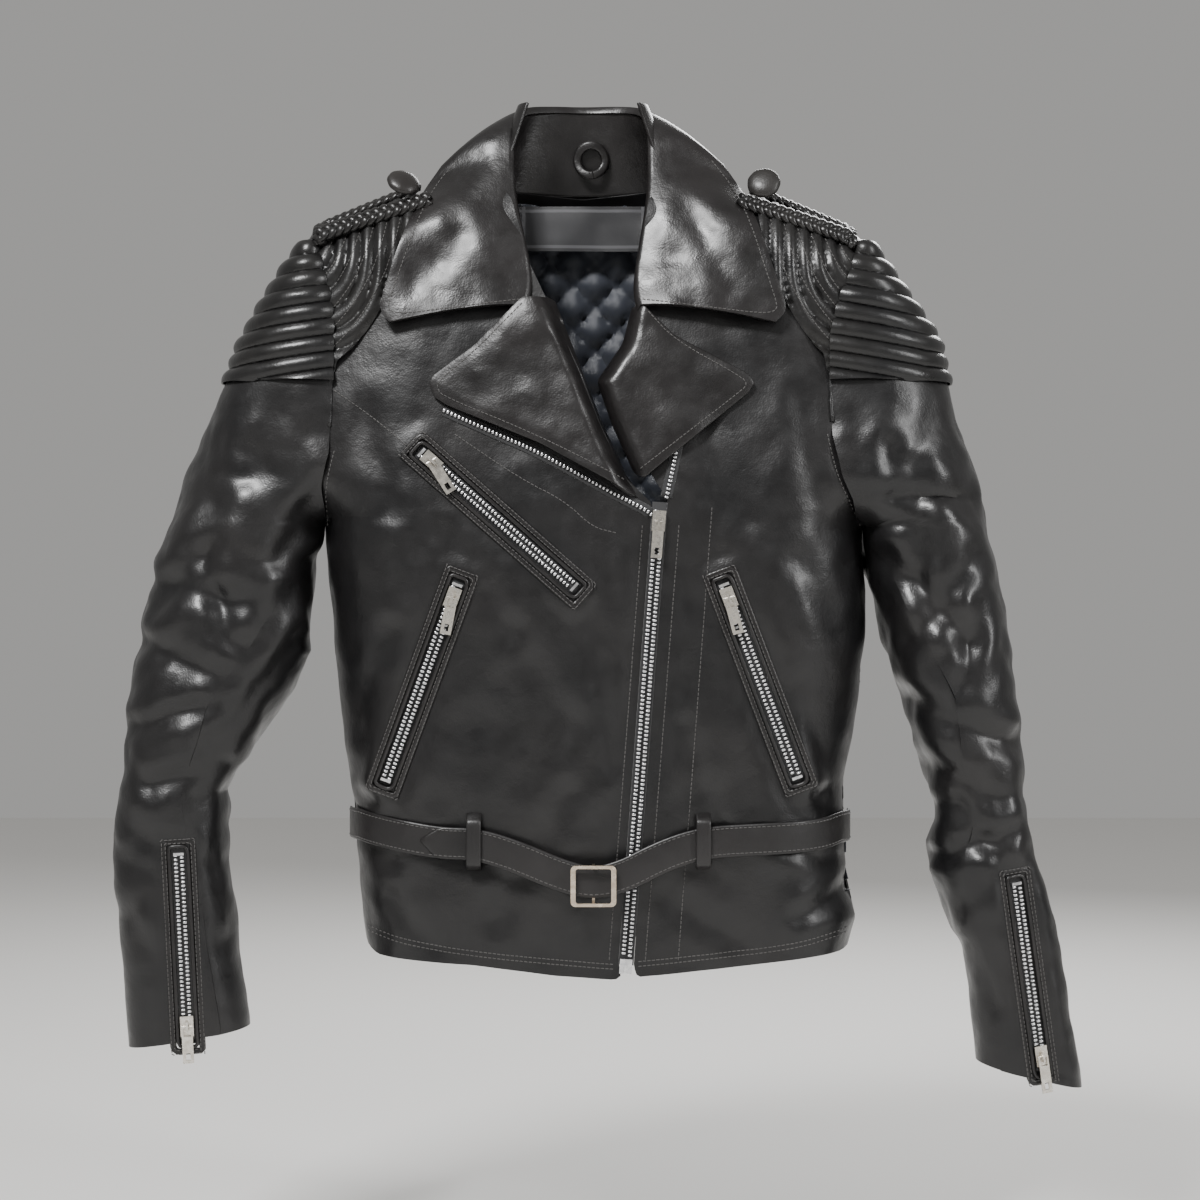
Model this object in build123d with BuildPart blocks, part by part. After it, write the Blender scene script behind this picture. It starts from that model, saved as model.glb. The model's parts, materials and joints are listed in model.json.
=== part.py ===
"""Leather riding jacket: quilted shoulders, braided epaulettes, slant front zip and belt.

Frame in millimetres: +Z up, the front faces -Y, +X is the wearer's left. The origin is the
middle of the neck opening, level with the top of a hanger. Left and right are the wearer's.
Every zip is straight and flat, so that its slider runs in a line; the leather follows one
ruled body surface, and what lies on it is a layer of that surface at its own height.
"""
import os
from math import atan, cos, pi, radians, sin, tan

from build123d import *

# --- Leather, lining and layers ---------------------------------------------------------
skin = 2.0                      # leather shell with its seam allowances
quilt_rise = 5.0                # padding of the quilted shoulders above the shell
lining_depth = 8.0              # from the leather's face to the lining's outer face
lining = 2.0                    # quilted satin lining
bag_depth = 5.2                 # from the leather's face to the pocket bags
bag = 1.0                       # both cloth layers of an empty pocket bag
lapel_gap = 2.2                 # stand-off of the folded lapels from the fronts
lapel = 3.8                     # folded lapel, two leathers and interlining
collar_thick = 4.5              # collar fall, two leathers and interlining
stand_thick = 3.0               # collar stand
seam_gap = 0.3                  # left between neighbouring pieces
reach = 150.0                   # longer than any cut through the front or the back has to be
cut_past = 1.0                  # how far a cutting block runs past the faces it cuts
layer_draw_in = 0.05            # share of a layer's depth by which its armhole edge draws in
edge_share = 0.99               # the farthest across a sleeve that its front surface is read

# --- Body: a tapered tube below the armpits, flat leaning panels above ------------------
armpit_z = -272.0
body_half_width = 203.0
body_half_depth = 78.0
body_taper = 3.0                # degrees, from the armpits down to the hem
hem_z = -588.0                  # hem at the side seams
hem_dip = 20.0                  # the fronts hang this much lower at the middle
shoulder_half_depth = 35.0
neck_z = -4.0
neck_middle = -9.0
neck_half_width = 76.0
neck_half_depth = 44.0
neck_cut = 20.0
shoulder_room = 12.0            # how far above the shoulders the panels' outlines reach

# --- Sleeves: height, shift of the middle, half width, half depth, shift to the front ----
# Above the armpit the sections reach into the body, and the armhole seam cuts them off.
armholes = {
    "right": ((-203.0, armpit_z), (-213.0, -56.0)),
    "left": ((201.0, armpit_z), (201.0, -58.0)),
}
sleeve_stations = {
    "right": [
        (-675.0, -302.0, 44.0, 31.0, 14.0),
        (-490.0, -317.0, 41.0, 40.0, 12.0),
        (-368.0, -280.0, 61.0, 54.0, 7.0),
        (armpit_z - 1.0, -262.0, 56.0, 60.0, 3.0),
        (-200.0, -224.0, 66.0, 60.0, 0.0),
        (-106.0, -206.0, 41.0, 54.0, 0.0),
        (-56.0, -197.0, 19.0, 40.0, 0.0),
    ],
    "left": [
        (-705.0, 326.0, 39.0, 31.0, 14.0),
        (-500.0, 287.0, 40.0, 40.0, 12.0),
        (-369.0, 267.0, 44.0, 52.0, 7.0),
        (armpit_z - 1.0, 250.5, 45.0, 58.0, 3.0),
        (-200.0, 216.0, 58.0, 58.0, 0.0),
        (-106.0, 198.0, 40.0, 52.0, 0.0),
        (-58.0, 187.0, 19.0, 40.0, 0.0),
    ],
}
cuff_edges = {"right": ((-260.0, -646.0), (-347.0, -661.0)), "left": ((285.0, -670.0), (363.0, -692.0))}
# height and share of the sleeve's width that belongs to the under sleeve
under_seam = [(-274.0, 0.02), (-352.0, 0.26), (-401.0, 0.42), (-480.0, 0.34), (-560.0, 0.22)]
cap_z = -162.0                  # lower edge of the quilted sleeve caps
under_seam_share = 0.20         # the under sleeve takes this share of the width at the cuff
sleeve_lining_depth = 3.5
sleeve_lining = 1.0
cuff_hem = 12.0                 # the sleeve lining stops this far above the cuff

# --- Quilted yokes ----------------------------------------------------------------------
yoke_width = 78.0
yoke_drop = 112.0

# --- Collar -----------------------------------------------------------------------------
collar_gap = 7.0                # stand-off of the collar leaves from the fronts
collar_top_z = 48.0
collar_back_z = -32.0           # lower edge of the collar on the back
collar_low_z = 3.0              # the ring above the shoulders starts here
collar_low = (92.0, 54.0)
collar_top = (56.0, 38.0)
stand_low_z = -18.0
stand_top_z = 44.0
stand_low = (72.0, 40.0)
stand_top = (48.0, 31.0)
stand_front_y = -16.0
label_size = (98.0, 34.0)
label_z = -46.0
label_thick = 0.8
loop_radius = 13.0
loop_strap = 5.0
loop_thick = 2.5
loop_aside = 6.0                # the loop's middle, across from the middle of the neck
loop_z = 8.0

# --- Zips -------------------------------------------------------------------------------
row_inner = 0.8                 # the slider's post runs between the two rows
row_outer = 3.8
row_half = 1.2
tape_outer = 5.3
tape_half = 0.4
window_half = 5.6
welt_half = 9.0
welt_end = 5.0
window_end = 4.0
welt_low = -1.0
welt_high = 1.6
slot_depth = 7.0
slider_length = 15.0
slider_half = 4.8
slider_margin = 1.0             # from the slider's end to the end of the rows
plate_low = 1.5
plate_high = 2.7
post_half = 0.5
post_length = 3.0
arch_half_length = 4.0
arch_half = 0.9
arch_foot = 1.2
arch_high = 6.2
arch_clear = 5.0
pin_height = 3.9
pin_radius = 0.75
pull_half = 4.0
pull_window_half = 2.6
pull_window = 7.0
pull_length = 27.0
pull_hole = (5.0, 3.2)
stop_length = 2.0
main_edge = 6.5                 # front edges stand this far from the main chain's middle
main_top = (47.0, -262.0)
main_end = (23.0, -590.0)
box_size = (9.0, 11.0, 3.4)

# name: chain top, chain end, lift above the chord, turn of the hanging pull, cuff side
pocket_zips = {
    "chest_zip": ((-125.0, -222.0), (-16.0, -318.0), 2.2, -16.0),
    "hip_zip_right": ((-100.0, -318.0), (-152.0, -458.0), 2.0, 9.0),
    "hip_zip_left": ((94.0, -318.0), (147.0, -456.0), 2.0, -6.0),
}
cuff_zips = {
    "cuff_zip_right": ("right", (-306.0, -516.0), (-300.0, -650.0), 0.8),
    "cuff_zip_left": ("left", (310.0, -538.0), (329.0, -672.0), 0.8),
}

# --- Belt and buckle --------------------------------------------------------------------
belt_width = 23.5
belt_thick = 2.4
belt_layer_gap = 0.8
belt_side_gap = 2.0
belt_front_gap = 9.0            # the slider passes under the loose belt
belt_loop_x = (-88.0, 79.0)
belt_loop_width = 11.0
belt_loop_height = 38.0
belt_loop_thick = 2.0
belt_loop_z = -504.0
belt_sag = 30.0                 # the buckle hangs this much lower than the loops
belt_tip_x = -122.0
belt_tip_cut = 12.0
buckle_x = -1.0
buckle_room = 6.5               # how much taller the buckle is than the belt
buckle_size = (33.0, belt_width + buckle_room)
buckle_bar = 3.6
buckle_side_bar = 2.4
buckle_foot = 1.6               # the posts that carry the centre bar behind the frame
buckle_thick = 2.4
buckle_rise = 1.9
centre_bar = 2.0

# --- Epaulettes -------------------------------------------------------------------------
braid = 12.5
epaulette_gap = 15.0            # between the two braids
epaulette_thick = 6.5
epaulette_clear = 1.0
epaulette_y = -14.0
epaulette_end_x = {"right": -207.0, "left": 194.0}
epaulette_button_x = {"right": -137.0, "left": 120.0}
button_radius = 12.5
button_high = 5.0
stud_radius = 3.5
stud_high = 2.6

side_sign = {"right": -1.0, "left": 1.0}
os.makedirs("parts", exist_ok=True)


def finish(builder, name):
    """Name a finished piece and write it."""
    builder.part.label = name
    export_step(builder.part, f"parts/{name}.step")
    return builder.part


# --- The body surface -------------------------------------------------------------------
def station_at(stations, height):
    """The section's middle, half sizes and shift to the front, on straight lines."""
    ordered = sorted(stations)
    pairs = list(zip(ordered, ordered[1:]))
    low, high = next((p for p in pairs if height <= p[1][0]), pairs[-1])
    share = (height - low[0]) / (high[0] - low[0])
    return [low[i] + share * (high[i] - low[i]) for i in range(1, len(low))]


def front_depth(x, z):
    """How far in front of the middle plane the body surface lies."""
    if z > armpit_z:
        lean = (body_half_depth - shoulder_half_depth) / (neck_z - armpit_z)
        return body_half_depth - (z - armpit_z) * lean
    radius = body_half_depth - (armpit_z - z) * tan(radians(body_taper))
    out = max(abs(x) - (body_half_width - body_half_depth), 0)
    return max(radius ** 2 - out ** 2, 0) ** 0.5


def arm_depth(side):
    """A function that gives how far in front of the middle plane a sleeve lies."""
    def depth_at(x, z):
        middle, width, depth, forward = station_at(sleeve_stations[side], z)
        share = min(abs(x - middle) / width, edge_share)
        return depth * (1 - share ** 2) ** 0.5 + forward

    return depth_at


def surface_plane(depth_at, top, end, lift):
    """A flat seat for a straight zip: X down the chain, Z out of the leather."""
    start = Vector(top[0], -depth_at(*top), top[1])
    last = Vector(end[0], -depth_at(*end), end[1])
    along = (last - start).normalized()
    x = (top[0] + end[0]) / 2
    z = (top[1] + end[1]) / 2
    step = 4.0
    slope_x = (depth_at(x + step, z) - depth_at(x - step, z)) / (2 * step)
    slope_z = (depth_at(x, z + step) - depth_at(x, z - step)) / (2 * step)
    normal = Vector(-slope_x, -1.0, -slope_z)
    normal = (normal - along * normal.dot(along)).normalized()
    return Plane(start + normal * lift, along, normal), (last - start).length


def prism(points, depth=reach, both=False):
    """A front-view outline, cut through towards the front or through everything."""
    with BuildPart() as cutter:
        with BuildSketch(Plane.XZ):
            with BuildLine():
                Polyline(*points, close=True)
            make_face()
        extrude(amount=depth, both=both)
    return cutter.part


def tube(offset, extend=0.0):
    """The tapered body below the armpits, moved outwards by an offset."""
    drop = armpit_z - hem_z + hem_dip + seam_gap + extend
    with BuildPart() as solid:
        with BuildSketch(Plane.XY.offset(armpit_z)):
            SlotOverall(2 * (body_half_width + offset), 2 * (body_half_depth + offset))
        extrude(amount=-drop, taper=body_taper)
    return solid.part


def chest(offset, extend=0.0):
    """The flat leaning body above the armpits, between the armhole seams."""
    foot = body_half_depth + offset
    head = shoulder_half_depth + offset
    top_z = neck_z + offset
    with BuildPart() as solid:
        with BuildSketch(Plane.YZ):
            with BuildLine():
                Polyline((-foot, armpit_z), (foot, armpit_z), (head, top_z), (-head, top_z), close=True)
            make_face()
        extrude(amount=reach * 2, both=True)
        add(prism(chest_outline(offset, extend), both=True), mode=Mode.INTERSECT)
    return solid.part


def chest_outline(offset, extend):
    """The front view of the chest: armhole seams and sloping shoulders."""
    outline = []
    for side, sign in side_sign.items():
        inner, outer = armholes[side]
        neck_x = neck_middle + sign * (neck_half_width + seam_gap)
        slope = (outer[1] - neck_z) / (outer[0] - neck_x)
        out_x = sign * (extend + min(offset, 0) * layer_draw_in)
        ends = [(inner[0] + out_x, inner[1] - seam_gap),
                (outer[0] + out_x, outer[1] + out_x * slope + offset),
                (neck_x, neck_z + offset)]
        outline += ends if side == "right" else ends[::-1]
    return outline


def torso(offset, extend=0.0):
    """The whole body, moved outwards by an offset."""
    with BuildPart() as solid:
        add(tube(offset, extend))
        add(chest(offset, extend))
    return solid.part


def layer(outline, low, high, both=False):
    """The stretch of a layer of the body surface inside a front-view outline."""
    with BuildPart() as piece:
        add(torso(high))
        add(torso(low, seam_gap), mode=Mode.SUBTRACT)
        add(prism(outline, both=both), mode=Mode.INTERSECT)
    return piece.part


def sleeve_solid(side, offset):
    """The solid inside the sleeve, moved outwards by an offset."""
    with BuildPart() as solid:
        for height, middle, width, depth, forward in sleeve_stations[side]:
            with BuildSketch(Plane.XY.offset(height)):
                with Locations((middle, -forward)):
                    Ellipse(width + offset, depth + offset)
        loft(ruled=True)
    return solid.part


# --- Outlines in the front view ---------------------------------------------------------
roll_right = [(-62, 12), (-60, -25), (-46, -80), (-30, -109), (-8, -163), (6, -200), (24, -239)]
roll_left = [(37, 12), (38, -25), (31, -77), (28, -108), (18, -150), (20, -185), (36, -239)]
main_slope = (main_end[0] - main_top[0]) / (main_end[1] - main_top[1])


def main_x(z):
    """The middle of the main chain at a height."""
    return main_top[0] + (z - main_top[1]) * main_slope


def hem_line(start_x, end_x, count=7):
    """The dipping hem of the fronts between two places."""
    places = [start_x + (end_x - start_x) * i / (count - 1) for i in range(count)]
    return [(x, hem_z - hem_dip * (1 - (x / body_half_width) ** 2)) for x in places]


front_low = hem_z - hem_dip
right_edge = [(main_x(z) - main_edge, z) for z in (main_top[1], front_low)]
left_edge = [(main_x(z) + main_edge, z) for z in (main_top[1], front_low)]
wide = reach + body_half_width
right_hem = [p for p in hem_line(-body_half_width, right_edge[1][0] - seam_gap)][::-1]
left_hem = [p for p in hem_line(body_half_width, left_edge[1][0] + seam_gap)][::-1]
front_right_outline = (
    [(-wide, shoulder_room)] + roll_right + [right_edge[0]] + right_hem + [(-wide, hem_z)]
)
front_left_outline = [(wide, shoulder_room)] + roll_left + [left_edge[0]] + left_hem + [(wide, hem_z)]


def yoke_outline(side, grow):
    """The quilted shoulder: a quarter of an ellipse about the top of the armhole seam."""
    sign = side_sign[side]
    corner_x, corner_z = armholes[side][1]
    outer_x = corner_x + sign * reach / 3
    steps = 8
    arc = []
    for i in range(steps + 1):
        angle = pi / 2 * i / steps
        arc.append((corner_x - sign * (yoke_width + grow) * cos(angle),
                    corner_z - (yoke_drop + grow) * sin(angle)))
    top = neck_z + shoulder_room
    return [(outer_x, top), (arc[0][0], top)] + arc + [(outer_x, arc[-1][1])]


chest_bag_outline = [(-129, -230), (-20, -326), (-30, -340), (-80, -346), (-128, -318)]
hip_bag_outlines = {
    "right": [(-98, -358), (-150, -462), (-118, -470), (-40, -462), (-38, -380)],
    "left": [(93, -326), (145, -460), (118, -470), (52, -462), (56, -380)],
}
lapel_right_outline = [(-53, -112), (-30, -109), (-8, -163), (6, -200), (24, -239), (39, -258),
                       (31, -253), (-40, -214), (-108, -186), (-117, -180), (-121, -171),
                       (-119, -165), (-88, -142)]
lapel_left_outline = [(36, -118), (28, -116), (21, -140), (2, -168), (13, -200), (30, -234),
                      (37, -239), (112, -177), (117, -170), (113, -163), (58, -134)]
open_row_right = [(-110, -189), (-40, -216), (28, -252), (40, -262), (36, -266), (26, -256),
                  (-42, -220), (-112, -193)]
open_row_left = [(66, -136), (56, -200), (52, -240), (50, -260), (46, -260), (48, -240), (52, -200),
                 (62, -136)]
collar_right_outline = [(-52, 47), (-62, 38), (-60, -25), (-46, -80), (-52, -112), (-146, -126),
                        (-155, -124), (-159, -117), (-153, -99), (-140, -56), (-125, -8),
                        (-107, 8), (-88, 30), (-66, 47)]
collar_left_outline = [(30, 47), (37, 38), (38, -25), (30, -77), (30, -112), (37, -121),
                       (130, -127), (138, -124), (141, -117), (125, -67), (112, -25), (95, 2),
                       (77, 15), (50, 38), (42, 47)]


def zip_block(seat, length, half, low, high, start, stop):
    """A block in a zip's own frame, from start before the chain to stop after it."""
    with BuildPart() as block:
        middle = (length + stop - start) / 2
        with BuildSketch(seat.offset(low)):
            with Locations((middle, 0)):
                Rectangle(length + start + stop, 2 * half)
        extrude(amount=high - low)
    return block.part


seats = {"main_zip": surface_plane(front_depth, main_top, main_end, 0.0)}
for zip_name, (top, end, lift, turn) in pocket_zips.items():
    seats[zip_name] = surface_plane(front_depth, top, end, lift)
for zip_name, (side, top, end, lift) in cuff_zips.items():
    seats[zip_name] = surface_plane(arm_depth(side), top, end, lift)


def cut_zip_seat(zip_name, stop_window, stop_welt):
    """Take a zip's opening and the seat of its welt out of the piece being built."""
    seat, length = seats[zip_name]
    opening = zip_block(seat, length, window_half, -slot_depth, slot_depth, window_end, stop_window)
    frame_seat = zip_block(seat, length, welt_half + seam_gap, welt_low - seam_gap, slot_depth,
                           welt_end + window_end + seam_gap, stop_welt)
    add(opening, mode=Mode.SUBTRACT)
    add(frame_seat, mode=Mode.SUBTRACT)


# --- Body leather -----------------------------------------------------------------------
with BuildPart() as neck_hole:
    with BuildSketch(Plane.XY.offset(neck_z - neck_cut)):
        with Locations((neck_middle, 0)):
            Ellipse(neck_half_width, neck_half_depth)
    extrude(amount=2 * neck_cut)

with BuildPart() as body_skin:
    add(torso(0))
    add(torso(-skin, seam_gap), mode=Mode.SUBTRACT)
    add(neck_hole.part, mode=Mode.SUBTRACT)
    with BuildSketch(Plane.XY):
        Rectangle(4 * wide, seam_gap)
    extrude(amount=6 * reach, both=True, mode=Mode.SUBTRACT)

with BuildPart() as back_panel:
    add(body_skin.part)
    with BuildSketch(Plane.XZ):
        with Locations((0, (hem_z + neck_z) / 2)):
            Rectangle(2 * wide, neck_z - hem_z)
    extrude(amount=-reach, mode=Mode.INTERSECT)
    for side in side_sign:
        add(prism(yoke_outline(side, seam_gap), both=True), mode=Mode.SUBTRACT)
finish(back_panel, "back_panel")

for side, outline in (("right", front_right_outline), ("left", front_left_outline)):
    with BuildPart() as front_panel:
        add(body_skin.part)
        add(prism(outline), mode=Mode.INTERSECT)
        add(prism(yoke_outline(side, seam_gap), both=True), mode=Mode.SUBTRACT)
        for zip_name, zip_data in pocket_zips.items():
            if zip_data[0][0] * side_sign[side] > 0:
                cut_zip_seat(zip_name, window_end, welt_end + window_end + seam_gap)
    finish(front_panel, f"front_panel_{side}")

for side in side_sign:
    with BuildPart() as yoke:
        add(layer(yoke_outline(side, 0), -skin + seam_gap, quilt_rise, both=True))
        add(neck_hole.part, mode=Mode.SUBTRACT)
    finish(yoke, f"shoulder_yoke_{side}")


# --- Sleeves ----------------------------------------------------------------------------
def sleeve_edge(side, height, share):
    """A point across the sleeve: share 0 is the edge by the body, 1 the outer edge."""
    middle, width = station_at(sleeve_stations[side], height)[:2]
    return (middle + side_sign[side] * width * (2 * share - 1), height)


def cuff_region(side, rise):
    """What lies above the cuff, or above a line that far inside it."""
    inner, outer = cuff_edges[side]
    slope = (outer[1] - inner[1]) / (outer[0] - inner[0])
    far = side_sign[side] * 2 * wide
    start = inner[1] - inner[0] * slope + rise
    return [(0, start), (far, start + far * slope), (far, reach), (0, reach)]


def arm_shell(side, outer, inner, region):
    """The wall of a sleeve between two offsets, outside the armhole and inside a region."""
    edge_x = side_sign[side] * 2 * seam_gap
    low, high = armholes[side]
    slope = (high[0] - low[0]) / (high[1] - low[1])
    body_side = [(low[0] + edge_x, low[1] - 2 * seam_gap), (0, low[1] - 2 * seam_gap), (0, reach),
                 (low[0] + edge_x + (reach - low[1]) * slope, reach)]
    with BuildPart() as shell:
        add(sleeve_solid(side, outer))
        add(sleeve_solid(side, inner), mode=Mode.SUBTRACT)
        add(prism(region, both=True), mode=Mode.INTERSECT)
        add(prism(body_side, both=True), mode=Mode.SUBTRACT)
    return shell.part


for side, sign in side_sign.items():
    far = sign * 2 * wide
    arm_low = sleeve_stations[side][0][0]
    arm_region = cuff_region(side, 0)[:2] + [(far, cap_z), (0, cap_z)]
    lining_region = cuff_region(side, cuff_hem)
    cap_region = [(0, cap_z + seam_gap), (0, reach), (far, reach), (far, cap_z + seam_gap)]
    seam = [sleeve_edge(side, height, share) for height, share in under_seam]
    seam_end = sleeve_edge(side, arm_low, under_seam_share)
    under_region = [(0, armpit_z)] + seam + [seam_end, (0, arm_low)]
    gap_x = sign * seam_gap
    beyond = [(x - gap_x, z) for x, z in under_region[1:-1]]
    with BuildPart() as sleeve_under:
        add(arm_shell(side, 0, -skin, arm_region))
        add(prism([under_region[0]] + beyond + [under_region[-1]], both=True), mode=Mode.INTERSECT)
    finish(sleeve_under, f"sleeve_under_{side}")
    with BuildPart() as sleeve_top:
        add(arm_shell(side, 0, -skin, arm_region))
        add(prism(under_region, both=True), mode=Mode.SUBTRACT)
        cut_zip_seat(f"cuff_zip_{side}", reach, reach)
    finish(sleeve_top, f"sleeve_top_{side}")
    with BuildPart() as sleeve_cap:
        add(arm_shell(side, quilt_rise, -skin, cap_region))
    finish(sleeve_cap, f"sleeve_cap_{side}")
    lining_out = -sleeve_lining_depth
    with BuildPart() as sleeve_lining_piece:
        add(arm_shell(side, lining_out, lining_out - sleeve_lining, lining_region))
        seat, length = seats[f"cuff_zip_{side}"]
        add(zip_block(seat, length, welt_half, -slot_depth, slot_depth, welt_half, reach),
            mode=Mode.SUBTRACT)
    finish(sleeve_lining_piece, f"sleeve_lining_{side}")

# --- Body lining, label and pocket bags -------------------------------------------------
with BuildPart() as body_lining:
    add(torso(-lining_depth))
    add(torso(-lining_depth - lining, seam_gap), mode=Mode.SUBTRACT)
    with BuildSketch(Plane.XY.offset(hem_z + cuff_hem)):
        Rectangle(4 * wide, 2 * reach)
    extrude(amount=-reach, mode=Mode.SUBTRACT)
    add(prism(roll_right + roll_left[::-1]), mode=Mode.SUBTRACT)
    add(neck_hole.part, mode=Mode.SUBTRACT)
finish(body_lining, "body_lining")

label_low = label_z - label_size[1] / 2
label_outline = [(neck_middle + x * label_size[0] / 2, label_low + z * label_size[1])
                 for x, z in ((-1, 0), (1, 0), (1, 1), (-1, 1))]
label_face = -lining_depth - lining - seam_gap
with BuildPart() as neck_label:
    add(layer(label_outline, label_face - label_thick, label_face, both=True))
    with BuildSketch(Plane.XZ):
        with Locations((0, label_z)):
            Rectangle(2 * wide, 2 * label_size[1])
    extrude(amount=-reach, mode=Mode.INTERSECT)
finish(neck_label, "neck_label")

with BuildPart() as chest_bag:
    add(layer(chest_bag_outline, -bag_depth - bag, -bag_depth))
finish(chest_bag, "chest_pocket_bag")
with BuildPart() as hip_bags:
    for outline in hip_bag_outlines.values():
        add(layer(outline, -bag_depth - bag, -bag_depth))
finish(hip_bags, "hip_pocket_bags")

# --- Lapels -----------------------------------------------------------------------------
for side, outline in (("right", lapel_right_outline), ("left", lapel_left_outline)):
    with BuildPart() as lapel_piece:
        add(layer(outline, lapel_gap, lapel_gap + lapel))
    finish(lapel_piece, f"lapel_{side}")

# --- Collar -----------------------------------------------------------------------------
lean = atan((body_half_depth - shoulder_half_depth) / (neck_z - armpit_z))
leaf_plane = Plane(
    (0, -shoulder_half_depth, neck_z), (1, 0, 0), (0, -cos(lean), sin(lean))
)


def neck_ring(low_z, low, high_z, high, shrink):
    """A solid cone between two ellipses around the neck."""
    with BuildPart() as ring:
        for height, size in ((low_z, low), (high_z, high)):
            with BuildSketch(Plane.XY.offset(height)):
                with Locations((neck_middle, 0)):
                    Ellipse(size[0] - shrink, size[1] - shrink)
        loft(ruled=True)
    return ring.part


with BuildPart() as collar_leaves:
    with BuildSketch(leaf_plane.offset(collar_gap)):
        for outline in (collar_right_outline, collar_left_outline):
            with BuildLine():
                Polyline(*[(x, (z - neck_z) / cos(lean)) for x, z in outline], close=True)
            make_face()
    extrude(amount=collar_thick)
with BuildPart() as collar_behind:
    with BuildSketch(leaf_plane.offset(collar_gap)):
        Rectangle(4 * wide, 6 * reach)
    extrude(amount=-2 * wide)
with BuildPart() as back_flap:
    with BuildSketch(Plane(leaf_plane.origin * -1 + Vector(0, 0, 2 * neck_z), (1, 0, 0),
                           (0, cos(lean), sin(lean))).offset(collar_gap)):
        with Locations((neck_middle, (collar_low_z + collar_back_z) / 2 - neck_z)):
            Rectangle(2 * collar_low[0], collar_low_z + collar_thick - collar_back_z)
    extrude(amount=2 * collar_thick)

with BuildPart() as collar_fall:
    add(neck_ring(collar_low_z, collar_low, collar_top_z, collar_top, 0))
    add(neck_ring(collar_low_z, collar_low, collar_top_z, collar_top, collar_thick),
        mode=Mode.SUBTRACT)
    add(collar_behind.part, mode=Mode.INTERSECT)
    add(collar_leaves.part)
    add(back_flap.part)
finish(collar_fall, "collar_fall")

with BuildPart() as collar_stand:
    add(neck_ring(stand_low_z, stand_low, stand_top_z, stand_top, 0))
    add(neck_ring(stand_low_z, stand_low, stand_top_z, stand_top, stand_thick), mode=Mode.SUBTRACT)
    with BuildSketch(Plane.XY.offset(stand_low_z)):
        with Locations((neck_middle, stand_front_y - reach / 2)):
            Rectangle(reach * 2, reach)
    extrude(amount=reach, mode=Mode.SUBTRACT)
finish(collar_stand, "collar_stand")

stand_back_y = (stand_low[1] + stand_top[1]) / 2 - stand_thick
with BuildPart() as hang_loop:
    with BuildSketch(Plane.XZ.offset(-(stand_back_y - 2 * loop_thick))):
        with Locations((neck_middle + loop_aside, loop_z)):
            Circle(loop_radius)
            Circle(loop_radius - loop_strap, mode=Mode.SUBTRACT)
    extrude(amount=-loop_thick)
finish(hang_loop, "hang_loop")


# --- Zips -------------------------------------------------------------------------------
def bar(seat, x_range, y_range, z_range, mode=Mode.ADD):
    """A block in a zip's own frame, added to the piece being built."""
    with BuildPart() as block:
        with BuildSketch(seat.offset(z_range[0])):
            with Locations(((x_range[0] + x_range[1]) / 2, (y_range[0] + y_range[1]) / 2)):
                Rectangle(x_range[1] - x_range[0], y_range[1] - y_range[0])
        extrude(amount=z_range[1] - z_range[0])
    add(block.part, mode=mode)


def both_sides(seat, x_range, inner, outer, z_range, mode=Mode.ADD):
    """The same block on each side of the chain."""
    bar(seat, x_range, (inner, outer), z_range, mode)
    bar(seat, x_range, (-outer, -inner), z_range, mode)


def make_slider(name, seat, start):
    """A slider: two plates joined by a post between the rows, with an arch for its pull."""
    stop = start + slider_length
    middle = start + slider_length / 2
    with BuildPart() as slider:
        bar(seat, (start, stop), (-slider_half, slider_half), (plate_low, plate_high))
        bar(seat, (start, stop), (-slider_half, slider_half), (-plate_high, -plate_low))
        bar(seat, (start, start + post_length), (-post_half, post_half), (-plate_low, plate_low))
        bar(seat, (middle - arch_half_length, middle + arch_half_length), (-arch_half, arch_half),
            (plate_high, arch_high))
        bar(seat, (middle - arch_half_length + arch_foot, middle + arch_half_length - arch_foot),
            (-arch_half, arch_half), (plate_high, arch_clear), Mode.SUBTRACT)
    finish(slider, f"{name}_slider")
    return middle


def make_pull(name, seat, middle, turn):
    """A pull: a flat tab whose window turns on a round bar under the slider's arch."""
    pivot = seat.offset(pin_height)
    centre = pivot.from_local_coords(Vector(middle, 0, 0))
    down = pivot.x_dir * cos(radians(turn)) + pivot.y_dir * sin(radians(turn))
    hang = Plane(centre, down, pivot.z_dir)
    with BuildPart() as pull:
        with BuildSketch(hang.offset(-pin_radius)):
            with Locations((pull_length / 2, 0)):
                Rectangle(pull_length, 2 * pull_half)
            with Locations((pull_window / 2, 0)):
                Rectangle(pull_window, 2 * pull_window_half, mode=Mode.SUBTRACT)
            with Locations((pull_length - pull_hole[0], 0)):
                Rectangle(*pull_hole, mode=Mode.SUBTRACT)
        extrude(amount=2 * pin_radius)
        with BuildSketch(Plane(hang.origin, hang.x_dir, hang.y_dir).offset(-pull_half)):
            Circle(pin_radius)
        extrude(amount=2 * pull_half)
    finish(pull, f"{name}_pull")
    print(name, "pull axis", tuple(hang.origin), tuple(hang.y_dir))


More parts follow.
